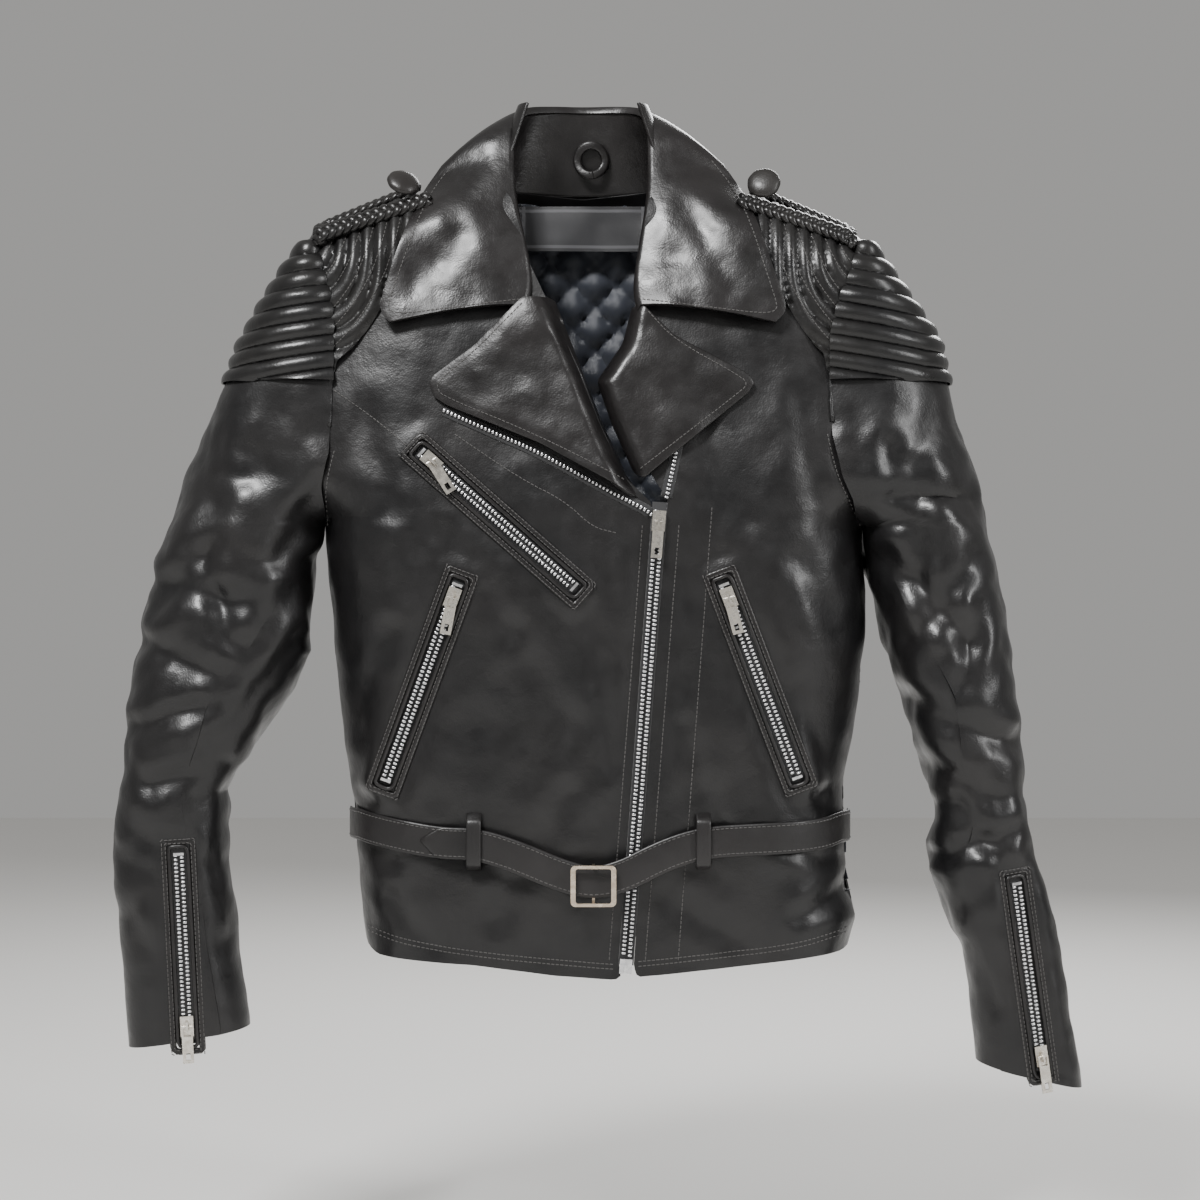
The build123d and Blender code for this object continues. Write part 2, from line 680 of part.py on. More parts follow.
zip_stops = []
zip_tapes = []
for zip_name, (seat, length) in seats.items():
    is_cuff = zip_name in cuff_zips
    is_main = zip_name == "main_zip"
    turn = 0.0 if is_cuff or is_main else pocket_zips[zip_name][3]
    start = length - slider_length - slider_margin if is_cuff else slider_margin
    middle = make_slider(zip_name, seat, start)
    make_pull(zip_name, seat, middle, turn)
    print(zip_name, "slides along", tuple(seat.x_dir), "length", round(length, 2))
    with BuildPart() as tapes:
        both_sides(seat, (-window_end / 2, length), row_outer, tape_outer, (-tape_half, tape_half))
    zip_tapes.append(tapes.part)
    with BuildPart() as stops:
        bar(seat, (-stop_length - seam_gap, -seam_gap), (-row_outer, row_outer), (-row_half, row_half))
        if is_cuff:
            both_sides(seat, (length + seam_gap, length + seam_gap + stop_length), row_inner,
                       row_outer, (-row_half, row_half))
        elif not is_main:
            bar(seat, (length + seam_gap, length + seam_gap + stop_length),
                (-row_outer, row_outer), (-row_half, row_half))
    if not is_main:
        zip_stops.append(stops.part)
    if is_main:
        continue
    with BuildPart() as teeth:
        both_sides(seat, (0, length), row_inner, row_outer, (-row_half, row_half))
    finish(teeth, f"{zip_name}_teeth")
    low_end = welt_end + window_end
    with BuildPart() as welt:
        bar(seat, (-low_end, length + (slider_margin if is_cuff else low_end)),
            (-welt_half, welt_half), (welt_low, welt_high))
        bar(seat, (-window_end, length + (reach if is_cuff else window_end)),
            (-window_half, window_half), (welt_low - cut_past, welt_high + cut_past), Mode.SUBTRACT)
    finish(welt, f"{zip_name}_welt")

with BuildPart() as stops_group:
    for piece in zip_stops:
        add(piece)
finish(stops_group, "zip_stops")
with BuildPart() as tapes_group:
    for piece in zip_tapes:
        add(piece)
finish(tapes_group, "zip_tapes")

# --- Main zip rows: closed and straight below the slider, open along the lapels above ---
main_seat, main_length = seats["main_zip"]
for sign, side in ((1, "left"), (-1, "right")):
    with BuildPart() as row:
        y_range = (row_inner, row_outer) if sign > 0 else (-row_outer, -row_inner)
        bar(main_seat, (0, main_length), y_range, (-row_half, row_half))
    finish(row, f"main_zip_row_{side}")
with BuildPart() as open_rows:
    for outline in (open_row_right, open_row_left):
        add(layer(outline, seam_gap, lapel_gap - seam_gap))
finish(open_rows, "main_zip_open_rows")
with BuildPart() as retainer:
    bar(main_seat, (main_length + seam_gap, main_length + box_size[1]),
        (-box_size[0] / 2, box_size[0] / 2), (-box_size[2] / 2, box_size[2] / 2))
finish(retainer, "main_zip_box")

# --- Belt -------------------------------------------------------------------------------
def belt_height(x):
    """The belt's middle: level to the loops, then sagging to the buckle."""
    edges = (belt_loop_x[0] + belt_loop_width, belt_loop_x[1] - belt_loop_width)
    if x <= edges[0] or x >= edges[1]:
        return belt_loop_z
    edge = edges[0] if x < buckle_x else edges[1]
    return belt_loop_z - belt_sag * (x - edge) / (buckle_x - edge)


def strap_outline(places, tip=0.0):
    """The front view of a strap through some places; the first end may be pointed."""
    upper = [(x, belt_height(x) + belt_width / 2) for x in places]
    lower = [(x, belt_height(x) - belt_width / 2) for x in places]
    point = [(places[0] - tip, belt_height(places[0]))] if tip else []
    return point + upper + lower[::-1]


belt_left, belt_right = belt_loop_x
half_loop = belt_loop_width / 2
side_reach = body_half_width + belt_front_gap
front_low_gap = belt_front_gap + belt_thick
over = front_low_gap + belt_layer_gap
bar_edge = centre_bar / 2 + belt_layer_gap
with BuildPart() as short_strap:
    add(layer(strap_outline([-side_reach, belt_left]), belt_side_gap, belt_side_gap + belt_thick))
    add(layer(strap_outline([belt_left - half_loop / 2, belt_left]), belt_side_gap, front_low_gap))
    add(layer(strap_outline([belt_left - half_loop / 2, belt_left + belt_loop_width,
                             buckle_x - bar_edge]), belt_front_gap, front_low_gap))
finish(short_strap, "belt_strap_short")
with BuildPart() as long_strap:
    add(layer(strap_outline([belt_right, side_reach]), belt_side_gap, belt_side_gap + belt_thick))
    add(layer(strap_outline([belt_right, belt_right + half_loop / 2]), belt_side_gap,
              over + belt_thick))
    add(layer(strap_outline([belt_tip_x + belt_tip_cut, belt_left + belt_loop_width, buckle_x,
                             belt_right - belt_loop_width, belt_right + half_loop / 2],
                            belt_tip_cut), over, over + belt_thick))
finish(long_strap, "belt_strap_long")

loop_low = over + belt_thick + belt_layer_gap
with BuildPart() as belt_loops:
    for x in belt_loop_x:
        x_range = (x - half_loop, x + half_loop)
        tall = belt_loop_height / 2
        short = belt_width / 2 + belt_layer_gap
        front_box = [(x_range[0], belt_loop_z - tall), (x_range[1], belt_loop_z - tall),
                     (x_range[1], belt_loop_z + tall), (x_range[0], belt_loop_z + tall)]
        room = [(x_range[0] - cut_past, belt_loop_z - short), (x_range[1] + cut_past, belt_loop_z - short),
                (x_range[1] + cut_past, belt_loop_z + short), (x_range[0] - cut_past, belt_loop_z + short)]
        add(layer(front_box, seam_gap, loop_low + belt_loop_thick))
        add(layer(room, 0, loop_low), mode=Mode.SUBTRACT)
finish(belt_loops, "belt_loops")

front_slope = radians(body_taper)
buckle_z = belt_height(buckle_x)
belt_plane = Plane((buckle_x, -front_depth(buckle_x, buckle_z), buckle_z), (1, 0, 0),
                   (0, -cos(front_slope), -sin(front_slope)))
bar_middle = (belt_front_gap + front_low_gap) / 2
frame_low = over + belt_thick + buckle_rise
with BuildPart() as buckle:
    with BuildSketch(belt_plane.offset(frame_low)):
        RectangleRounded(buckle_size[0], buckle_size[1], buckle_bar)
        RectangleRounded(buckle_size[0] - 2 * buckle_bar, buckle_size[1] - 2 * buckle_side_bar,
                         buckle_bar / 2, mode=Mode.SUBTRACT)
    extrude(amount=buckle_thick)
    with BuildSketch(belt_plane.offset(bar_middle - centre_bar / 2)):
        Rectangle(centre_bar, buckle_size[1])
    extrude(amount=centre_bar)
    with BuildSketch(belt_plane.offset(bar_middle - centre_bar / 2)):
        for end in (-1, 1):
            with Locations((0, end * (buckle_size[1] - buckle_foot) / 2)):
                Rectangle(centre_bar, buckle_foot)
    extrude(amount=frame_low - bar_middle + centre_bar / 2 + buckle_thick)
finish(buckle, "belt_buckle")
print("buckle axis", tuple(belt_plane.offset(bar_middle).origin), tuple(belt_plane.y_dir))


# --- Epaulettes -------------------------------------------------------------------------
def shoulder_point(side, x):
    """The top of the quilted shoulder above a place across the body."""
    inner_x = neck_middle + side_sign[side] * (neck_half_width + seam_gap)
    outer_x, outer_z = armholes[side][1]
    share = (x - inner_x) / (outer_x - inner_x)
    return Vector(x, epaulette_y, neck_z + share * (outer_z - neck_z) + quilt_rise)


for side, sign in side_sign.items():
    end = shoulder_point(side, epaulette_end_x[side])
    button = shoulder_point(side, epaulette_button_x[side])
    along = (button - end).normalized()
    level = Vector(0, 1, 0)
    normal = along.cross(level) if along.cross(level).Z > 0 else level.cross(along)
    rest = Plane(end, along, normal).offset(epaulette_clear)
    length = (button - end).length
    half_wide = braid + epaulette_gap / 2
    with BuildPart() as epaulette:
        with BuildSketch(rest):
            with Locations((length / 2 + button_radius / 4, 0)):
                RectangleRounded(length + button_radius / 2, 2 * half_wide, braid / 2)
            with Locations((length / 2 - button_radius / 4, 0)):
                RectangleRounded(length - 2 * button_radius, epaulette_gap, braid / 4,
                                 mode=Mode.SUBTRACT)
        extrude(amount=epaulette_thick)
        with BuildSketch(rest):
            with Locations((length, 0)):
                Circle(stud_radius + seam_gap)
        extrude(amount=stud_high, mode=Mode.SUBTRACT)
    finish(epaulette, f"epaulette_{side}")
    with BuildPart() as cap:
        with BuildSketch(rest.offset(epaulette_thick)):
            with Locations((length, 0)):
                Circle(button_radius)
        extrude(amount=button_high)
        fillet(cap.edges().group_by(Axis(rest.origin, rest.z_dir))[-1], button_high / 2)
    finish(cap, f"epaulette_button_{side}")
    with BuildPart() as stud:
        with BuildSketch(rest.offset(-epaulette_clear)):
            with Locations((length, 0)):
                Circle(stud_radius)
        extrude(amount=epaulette_clear + stud_high - seam_gap)
    finish(stud, f"epaulette_stud_{side}")
    print("epaulette", side, "axis", tuple(rest.origin), tuple(rest.x_dir))
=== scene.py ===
# %% [markdown]
# This lesson builds a short black leather riding jacket, hung up and zipped to the chest.
# A jacket is cut from flat panels, so each panel here is its own sheet, cut to its outline and
# laid on one shared body shape. The sizes are in millimetres in the code and become metres last.

# %% The frame
import bpy
import json
import math
import numpy as np
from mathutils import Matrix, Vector, noise
from mathutils.bvhtree import BVHTree
from mathutils.geometry import delaunay_2d_cdt


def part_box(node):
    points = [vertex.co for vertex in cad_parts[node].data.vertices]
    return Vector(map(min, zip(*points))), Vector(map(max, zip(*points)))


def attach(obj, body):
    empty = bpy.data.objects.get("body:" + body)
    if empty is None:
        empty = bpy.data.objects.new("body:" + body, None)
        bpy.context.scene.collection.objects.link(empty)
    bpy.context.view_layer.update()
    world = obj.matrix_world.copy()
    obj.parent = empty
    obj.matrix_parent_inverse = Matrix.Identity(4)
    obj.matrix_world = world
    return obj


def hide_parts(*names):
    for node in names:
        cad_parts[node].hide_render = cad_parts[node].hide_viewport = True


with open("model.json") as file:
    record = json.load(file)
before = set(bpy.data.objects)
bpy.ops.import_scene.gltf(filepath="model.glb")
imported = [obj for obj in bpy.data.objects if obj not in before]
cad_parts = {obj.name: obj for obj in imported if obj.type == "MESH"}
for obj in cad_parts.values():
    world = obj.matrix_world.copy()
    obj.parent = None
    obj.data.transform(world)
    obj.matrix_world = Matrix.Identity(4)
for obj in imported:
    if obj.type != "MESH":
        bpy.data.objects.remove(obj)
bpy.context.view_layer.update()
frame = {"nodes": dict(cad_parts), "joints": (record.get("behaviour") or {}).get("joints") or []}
nodes = frame["nodes"]
MM = 0.001
print("the frame holds", len(nodes), "pieces")

# %% [markdown]
# Leather is black, but it isn't one black. Its grain is a fine pebble, so a Voronoi bump makes
# the pebbles, a slower noise bump makes the soft creasing, and noise moves the roughness and the
# colour where hands and sleeves have rubbed it. All of them read Object coordinates, so the grain
# stays the same size on every panel.

# %% Leather
def new_material(name):
    material = bpy.data.materials.new(name)
    material.use_nodes = True
    return material, material.node_tree.nodes, material.node_tree.links


def noise_node(tree_nodes, links, place, scale, detail):
    texture = tree_nodes.new("ShaderNodeTexNoise")
    texture.inputs["Scale"].default_value = scale
    texture.inputs["Detail"].default_value = detail
    links.new(place.outputs["Object"], texture.inputs["Vector"])
    return texture


def spread(tree_nodes, links, source, low, high):
    ramp = tree_nodes.new("ShaderNodeMapRange")
    ramp.inputs["From Min"].default_value = 0.3
    ramp.inputs["From Max"].default_value = 0.7
    ramp.inputs["To Min"].default_value = low
    ramp.inputs["To Max"].default_value = high
    links.new(source, ramp.inputs["Value"])
    return ramp.outputs["Result"]


def leather(name, dark, worn, gloss, grain=760.0, coat=0.12):
    material, tree_nodes, links = new_material(name)
    shader = tree_nodes["Principled BSDF"]
    place = tree_nodes.new("ShaderNodeTexCoord")
    broad = noise_node(tree_nodes, links, place, 16.0, 5.0)
    rub = noise_node(tree_nodes, links, place, 70.0, 6.0)
    colour = tree_nodes.new("ShaderNodeMix")
    colour.data_type = "RGBA"
    colour.inputs["A"].default_value = (*dark, 1.0)
    colour.inputs["B"].default_value = (*worn, 1.0)
    links.new(spread(tree_nodes, links, broad.outputs["Fac"], 0.0, 0.8), colour.inputs["Factor"])
    links.new(colour.outputs["Result"], shader.inputs["Base Color"])
    links.new(spread(tree_nodes, links, rub.outputs["Fac"], gloss - 0.07, gloss + 0.09),
              shader.inputs["Roughness"])
    pebble = tree_nodes.new("ShaderNodeTexVoronoi")
    pebble.inputs["Scale"].default_value = grain
    links.new(place.outputs["Object"], pebble.inputs["Vector"])
    crease = noise_node(tree_nodes, links, place, 170.0, 5.0)
    fine = tree_nodes.new("ShaderNodeBump")
    fine.inputs["Strength"].default_value = 0.22
    fine.inputs["Distance"].default_value = 0.0003
    soft = tree_nodes.new("ShaderNodeBump")
    soft.inputs["Strength"].default_value = 0.35
    soft.inputs["Distance"].default_value = 0.0009
    links.new(pebble.outputs["Distance"], fine.inputs["Height"])
    links.new(crease.outputs["Fac"], soft.inputs["Height"])
    links.new(soft.outputs["Normal"], fine.inputs["Normal"])
    links.new(fine.outputs["Normal"], shader.inputs["Normal"])
    shader.inputs["Coat Weight"].default_value = coat
    shader.inputs["Coat Roughness"].default_value = 0.2
    shader.inputs["Specular IOR Level"].default_value = 0.42
    return material


body_leather = leather("body_leather", (0.005, 0.005, 0.0055), (0.013, 0.012, 0.012), 0.36)
quilted_leather = leather("quilted_leather", (0.005, 0.005, 0.0055), (0.014, 0.013, 0.012), 0.34)
collar_leather = leather("collar_leather", (0.006, 0.0055, 0.0055), (0.016, 0.014, 0.014), 0.35)
belt_leather = leather("belt_leather", (0.008, 0.0075, 0.0075), (0.02, 0.018, 0.018), 0.42)
braid_leather = leather("braid_leather", (0.006, 0.006, 0.006), (0.02, 0.018, 0.017), 0.32)
button_leather = leather("button_leather", (0.01, 0.009, 0.0085), (0.026, 0.023, 0.021), 0.42)

# %% [markdown]
# Cloth has a weave instead of a grain. Two crossed wave textures give the threads, and a sheen
# on the shader gives satin its soft edge light. The thread of the stitching is a dull dark grey.

# %% Cloth and thread
def woven(name, colour, rough, thread, sheen):
    material, tree_nodes, links = new_material(name)
    shader = tree_nodes["Principled BSDF"]
    place = tree_nodes.new("ShaderNodeTexCoord")
    shade = noise_node(tree_nodes, links, place, 40.0, 4.0)
    mix = tree_nodes.new("ShaderNodeMix")
    mix.data_type = "RGBA"
    mix.inputs["A"].default_value = (*[c * 0.6 for c in colour], 1.0)
    mix.inputs["B"].default_value = (*[c * 1.5 for c in colour], 1.0)
    links.new(shade.outputs["Fac"], mix.inputs["Factor"])
    links.new(mix.outputs["Result"], shader.inputs["Base Color"])
    links.new(spread(tree_nodes, links, shade.outputs["Fac"], rough - 0.06, rough + 0.08),
              shader.inputs["Roughness"])
    heights = []
    for direction in ("X", "Z"):
        wave = tree_nodes.new("ShaderNodeTexWave")
        wave.bands_direction = direction
        wave.inputs["Scale"].default_value = thread
        wave.inputs["Distortion"].default_value = 0.6
        links.new(place.outputs["Object"], wave.inputs["Vector"])
        heights.append(wave.outputs["Fac"])
    both = tree_nodes.new("ShaderNodeMath")
    both.operation = "MULTIPLY"
    links.new(heights[0], both.inputs[0])
    links.new(heights[1], both.inputs[1])
    bump = tree_nodes.new("ShaderNodeBump")
    bump.inputs["Strength"].default_value = 0.3
    bump.inputs["Distance"].default_value = 0.0003
    links.new(both.outputs["Value"], bump.inputs["Height"])
    links.new(bump.outputs["Normal"], shader.inputs["Normal"])
    shader.inputs["Sheen Weight"].default_value = sheen
    shader.inputs["Sheen Roughness"].default_value = 0.4
    return material


satin = woven("satin_lining", (0.03, 0.034, 0.045), 0.38, 900.0, 0.5)
label_cloth = woven("label_cloth", (0.012, 0.012, 0.014), 0.45, 1100.0, 0.3)
label_border = woven("label_border", (0.07, 0.07, 0.075), 0.5, 1100.0, 0.3)
tape_cloth = woven("zip_tape", (0.02, 0.02, 0.021), 0.75, 700.0, 0.2)
pocket_cloth = woven("pocket_cloth", (0.03, 0.03, 0.032), 0.8, 600.0, 0.1)
thread = woven("thread", (0.06, 0.057, 0.055), 0.55, 1600.0, 0.2)

# %% [markdown]
# The zips are bright aluminium with sliders of worn nickel plate, and the buckle is a pale brass
# plate. Metal that has been handled has fine scratches and dull spots, which noise in the
# roughness gives.

# %% Metal
def plated(name, colour, tarnish, rough):
    material, tree_nodes, links = new_material(name)
    shader = tree_nodes["Principled BSDF"]
    shader.inputs["Metallic"].default_value = 1.0
    place = tree_nodes.new("ShaderNodeTexCoord")
    spots = noise_node(tree_nodes, links, place, 260.0, 7.0)
    mix = tree_nodes.new("ShaderNodeMix")
    mix.data_type = "RGBA"
    mix.inputs["A"].default_value = (*colour, 1.0)
    mix.inputs["B"].default_value = (*tarnish, 1.0)
    links.new(spread(tree_nodes, links, spots.outputs["Fac"], 0.0, 0.7), mix.inputs["Factor"])
    links.new(mix.outputs["Result"], shader.inputs["Base Color"])
    links.new(spread(tree_nodes, links, spots.outputs["Fac"], rough - 0.08, rough + 0.14),
              shader.inputs["Roughness"])
    scratch = noise_node(tree_nodes, links, place, 1400.0, 3.0)
    bump = tree_nodes.new("ShaderNodeBump")
    bump.inputs["Strength"].default_value = 0.12
    bump.inputs["Distance"].default_value = 0.0001
    links.new(scratch.outputs["Fac"], bump.inputs["Height"])
    links.new(bump.outputs["Normal"], shader.inputs["Normal"])
    return material


zip_metal = plated("zip_metal", (0.86, 0.86, 0.87), (0.6, 0.6, 0.62), 0.24)
slider_metal = plated("slider_metal", (0.8, 0.77, 0.71), (0.56, 0.51, 0.44), 0.26)
buckle_metal = plated("buckle_metal", (0.78, 0.68, 0.56), (0.5, 0.4, 0.3), 0.27)
stud_metal = plated("stud_metal", (0.62, 0.62, 0.62), (0.4, 0.4, 0.4), 0.35)

# %% [markdown]
# Every piece of the jacket goes through one helper. It turns millimetres into metres, makes the
# mesh, gives it its finish, and lets it ride on a body of the frame.

# %% Helpers for pieces
def add_piece(name, points, faces, material, body="jacket", stands_for=()):
    mesh = bpy.data.meshes.new(name)
    mesh.from_pydata([tuple(p) for p in np.asarray(points, float) * MM], [], faces)
    mesh.validate()
    mesh.materials.append(material)
    piece = bpy.data.objects.new(name, mesh)
    bpy.context.collection.objects.link(piece)
    mesh.shade_smooth()
    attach(piece, body)
    if stands_for:
        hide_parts(*stands_for)
    return piece


def only(piece):
    bpy.ops.object.select_all(action="DESELECT")
    piece.select_set(True)
    bpy.context.view_layer.objects.active = piece


def thicken(piece, thickness, offset=-1.0, bevel=0.0):
    only(piece)
    solid = piece.modifiers.new("thickness", "SOLIDIFY")
    solid.thickness = thickness * MM
    solid.offset = offset
    bpy.ops.object.modifier_apply(modifier=solid.name)
    if bevel:
        edge = piece.modifiers.new("edge", "BEVEL")
        edge.width = bevel * MM
        edge.segments = 2
        edge.angle_limit = math.radians(50)
        bpy.ops.object.modifier_apply(modifier=edge.name)
    bpy.ops.object.shade_smooth_by_angle(angle=math.radians(55))


def face_out(piece):
    only(piece)
    bpy.ops.object.mode_set(mode="EDIT")
    bpy.ops.mesh.select_all(action="SELECT")
    bpy.ops.mesh.remove_doubles(threshold=0.00002)
    bpy.ops.mesh.normals_make_consistent(inside=False)
    bpy.ops.object.mode_set(mode="OBJECT")


def grid_faces(rows, columns, close=False):
    wide = columns if close else columns - 1
    return [(r * columns + c, r * columns + (c + 1) % columns,
             (r + 1) * columns + (c + 1) % columns, (r + 1) * columns + c)
            for r in range(rows - 1) for c in range(wide)]


def resample(points, step, closed=False):
    points = np.asarray(points, float)
    if closed:
        points = np.vstack([points, points[:1]])
    length = np.r_[0, np.cumsum(np.linalg.norm(np.diff(points, axis=0), axis=1))]
    count = max(int(round(length[-1] / step)), 2)
    at = np.linspace(0, length[-1], count + 1)
    spread_points = np.stack([np.interp(at, length, points[:, k]) for k in range(points.shape[1])], 1)
    return spread_points[:-1] if closed else spread_points


def rounded(points, rounds=2, closed=False):
    """Cut the corners of a drawn line, so that it runs as a smooth curve."""
    points = np.asarray(points, float)
    for _ in range(rounds):
        after = np.roll(points, -1, axis=0) if closed else points[1:]
        before = points if closed else points[:-1]
        near = before * 0.75 + after * 0.25
        far = before * 0.25 + after * 0.75
        cut = np.stack([near, far], 1).reshape(-1, points.shape[1])
        points = cut if closed else np.vstack([points[:1], cut, points[-1:]])
    return points


def inside(points, outline):
    x, y = points[:, 0], points[:, 1]
    hit = np.zeros(len(points), bool)
    for (x0, y0), (x1, y1) in zip(outline, np.roll(outline, -1, axis=0)):
        crosses = (y0 > y) != (y1 > y)
        hit ^= crosses & (x < (x1 - x0) * (y - y0) / (y1 - y0 + 1e-12) + x0)
    return hit


def line_distance(points, line):
    """How far each point is from a drawn line, and how far along it, from 0 to 1."""
    best = np.full(len(points), 1e9)
    share = np.zeros(len(points))
    line = np.asarray(line, float)
    for k, (a, b) in enumerate(zip(line[:-1], line[1:])):
        step = b - a
        t = np.clip(((points - a) @ step) / max(step @ step, 1e-9), 0, 1)
        d = np.linalg.norm(points - a - t[:, None] * step, axis=1)
        near = d < best
        best[near] = d[near]
        share[near] = (k + t[near]) / (len(line) - 1)
    return best, share


def cut_sheet(outline, spacing):
    """Triangles that fill an outline, with points every spacing."""
    outline = np.asarray(outline, float)
    low, high = outline.min(0), outline.max(0)
    rows = []
    for k, z in enumerate(np.arange(low[1] + spacing / 2, high[1], spacing * 0.87)):
        xs = np.arange(low[0] + spacing * (0.5 if k % 2 else 0.0), high[0], spacing)
        rows.append(np.stack([xs, np.full(len(xs), z)], 1))
    fill = np.vstack(rows)
    fill = fill[inside(fill, outline)]
    edge = np.vstack([outline, outline[:1]])
    fill = fill[line_distance(fill, edge)[0] > spacing * 0.55]
    every = [Vector(p) for p in np.vstack([outline, fill])]
    edges = [(k, (k + 1) % len(outline)) for k in range(len(outline))]
    places, _, faces, *_ = delaunay_2d_cdt(every, edges, [], 1, 1e-4)
    return np.array([tuple(p) for p in places]), [tuple(f) for f in faces]


def wander(points, scale, amount, seed):
    """Soft unevenness: smooth noise at one scale, the same on each run."""
    shift = Vector((seed * 7.3, seed * 3.1, seed * 5.7))
    return np.array([noise.noise(Vector(p) / scale + shift) for p in points]) * amount


def creased(flat_points, creases):
    """Listed folds: each is a valley with soft ridges at its sides."""
    lift = np.zeros(len(flat_points))
    for x0, z0, x1, z1, width, depth in creases:
        d, share = line_distance(flat_points, [(x0, z0), (x1, z1)])
        r = (d / width) ** 2
        lift += -depth * (1 - 1.6 * r) * np.exp(-r)
    return lift


def sweep(path, normals, half_wide, half_high, closed=False, sides=10, power=2.0):
    """A flattened tube along a path: wide across it, high along the normals."""
    path = np.asarray(path, float)
    normals = np.broadcast_to(np.asarray(normals, float), path.shape)
    if closed:
        tangent = np.roll(path, -1, 0) - np.roll(path, 1, 0)
    else:
        tangent = np.gradient(path, axis=0)
    tangent /= np.linalg.norm(tangent, axis=1)[:, None]
    across = np.cross(tangent, normals)
    across /= np.linalg.norm(across, axis=1)[:, None]
    up = np.cross(across, tangent)
    turn = np.linspace(0, 2 * math.pi, sides, endpoint=False)
    c, s = np.cos(turn), np.sin(turn)
    c = np.sign(c) * np.abs(c) ** (2 / power)
    s = np.sign(s) * np.abs(s) ** (2 / power)
    wide = np.broadcast_to(np.asarray(half_wide, float), len(path))
    high = np.broadcast_to(np.asarray(half_high, float), len(path))
    points = (path[:, None] + across[:, None] * (wide[:, None] * c)[..., None]
              + up[:, None] * (high[:, None] * s)[..., None]).reshape(-1, 3)
    rows = len(path)
    faces = grid_faces(rows, sides, True)
    if closed:
        last = (rows - 1) * sides
        faces += [(last + k, last + (k + 1) % sides, (k + 1) % sides, k) for k in range(sides)]
    else:
        faces += [tuple(range(sides))[::-1], tuple(range((rows - 1) * sides, rows * sides))]
    return points, faces


def together(parts):
    """Several point and face lists as one."""
    points, faces, start = [], [], 0
    for p, f in parts:
        points.append(np.asarray(p))
        faces += [tuple(k + start for k in face) for face in f]
        start += len(p)
    return np.vstack(points), faces


def side_names():
    return (("right", -1), ("left", 1))

# %% [markdown]
# The torso is one surface that all the body panels lie on: flat in front where the zips run,
# round at the sides, and closing over the shoulders to a soft ridge. A point on it is named by
# a walk across, u, and a height, z, so that a panel can be cut flat and then laid on.

# %% The body shape
ARMPIT, CHEST_DEPTH, FLAT_HALF = -272.0, 78.0, 125.0
TAPER, LEAN, RIDGE = math.tan(math.radians(3.0)), 0.1604, 46.0
NECK_X = -9.0
SOFT = 5.0
SIDES = {-1: ([-588, -530, -478, -441, -375, -309, -272], [171, 176, 182, 188, 194, 200, 203]),
         1: ([-588, -565, -530, -466, -423, -388, -354, -320, -272],
             [189, 196, 188, 187, 194, 199, 202, 203, 201])}


def body_sizes(x, z):
    """Depth, side roundness and flat half width at a height."""
    below = CHEST_DEPTH - (ARMPIT - z) * TAPER
    above = CHEST_DEPTH - (z - ARMPIT) * LEAN
    depth = -SOFT * np.logaddexp(-below / SOFT, -above / SOFT)
    rise = np.clip((z - ARMPIT) / 42.0, 0, 1)
    round_ = np.where(z < ARMPIT, depth, CHEST_DEPTH + 52 * rise * rise * (3 - 2 * rise))
    right = np.interp(z, *SIDES[-1]) - depth
    left = np.interp(z, *SIDES[1]) - depth
    flat = np.where(z < ARMPIT, np.where(x < 0, right, left), FLAT_HALF)
    return depth, round_, flat


def ridge_z(x):
    """The height of the shoulder line."""
    return np.where(x < NECK_X, -4 - np.maximum(-85 - x, 0) * 0.41, -4 - np.maximum(x - 67, 0) * 0.42)


def walk(x, z):
    depth, round_, flat = body_sizes(x, z)
    out = np.clip((np.abs(x) - flat) / round_, 0, 1)
    return np.where(np.abs(x) > flat, np.sign(x) * (flat + round_ * np.arcsin(out)), x)


def body_point(u, z):
    """x and depth of the torso at a walk and a height."""
    depth, round_, flat = body_sizes(u, z)
    angle = np.clip((np.abs(u) - flat) / round_, 0, math.pi / 2)
    x = np.sign(u) * (np.minimum(np.abs(u), flat) + round_ * np.sin(angle))
    under = np.clip((ridge_z(x) - z) / RIDGE, 0, 1)
    return x, depth * np.cos(angle) * np.sqrt(np.maximum(1 - (1 - under) ** 2.4, 0)) ** 0.9


def body_depth(x, z):
    x, z = np.asarray(x, float), np.asarray(z, float)
    return body_point(walk(x, z), z)[1]


# %% [markdown]
# Each zip slides along a line that the frame knows. Its joint gives the line, and the box of its
# teeth gives the middle, so everything round a zip is placed in the zip's own directions.

# %% The zips' own directions
joints = {j["name"]: j for j in frame["joints"]}
POCKET_ZIPS = ("chest_zip", "hip_zip_right", "hip_zip_left", "cuff_zip_right", "cuff_zip_left")


def zip_frame(zip_name, teeth_node):
    along = np.array(joints[zip_name + "_slide"]["axis"], float)
    across = np.array(joints[zip_name + "_pull_hinge"]["axis"], float)
    along /= np.linalg.norm(along)
    out = np.cross(along, across)
    out *= -np.sign(out[1]) / np.linalg.norm(out)
    low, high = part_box(teeth_node)
    middle = (np.array(low) + np.array(high)) / 2 / MM
    return middle, along, np.cross(out, along), out


zips = {z: zip_frame(z, z + "_teeth") for z in POCKET_ZIPS}
LENGTHS = {"chest_zip": 145.4, "hip_zip_right": 149.9, "hip_zip_left": 148.2,
           "cuff_zip_right": 134.2, "cuff_zip_left": 135.4}
zips["main_zip"] = zip_frame("main_zip", "main_zip_row_left")
LENGTHS["main_zip"] = 329.2
for zip_name, (middle, along, across, out) in zips.items():
    print(zip_name, np.round(middle, 1), np.round(along, 3), np.round(out, 3))


SEAT_DEPTH = 2.0


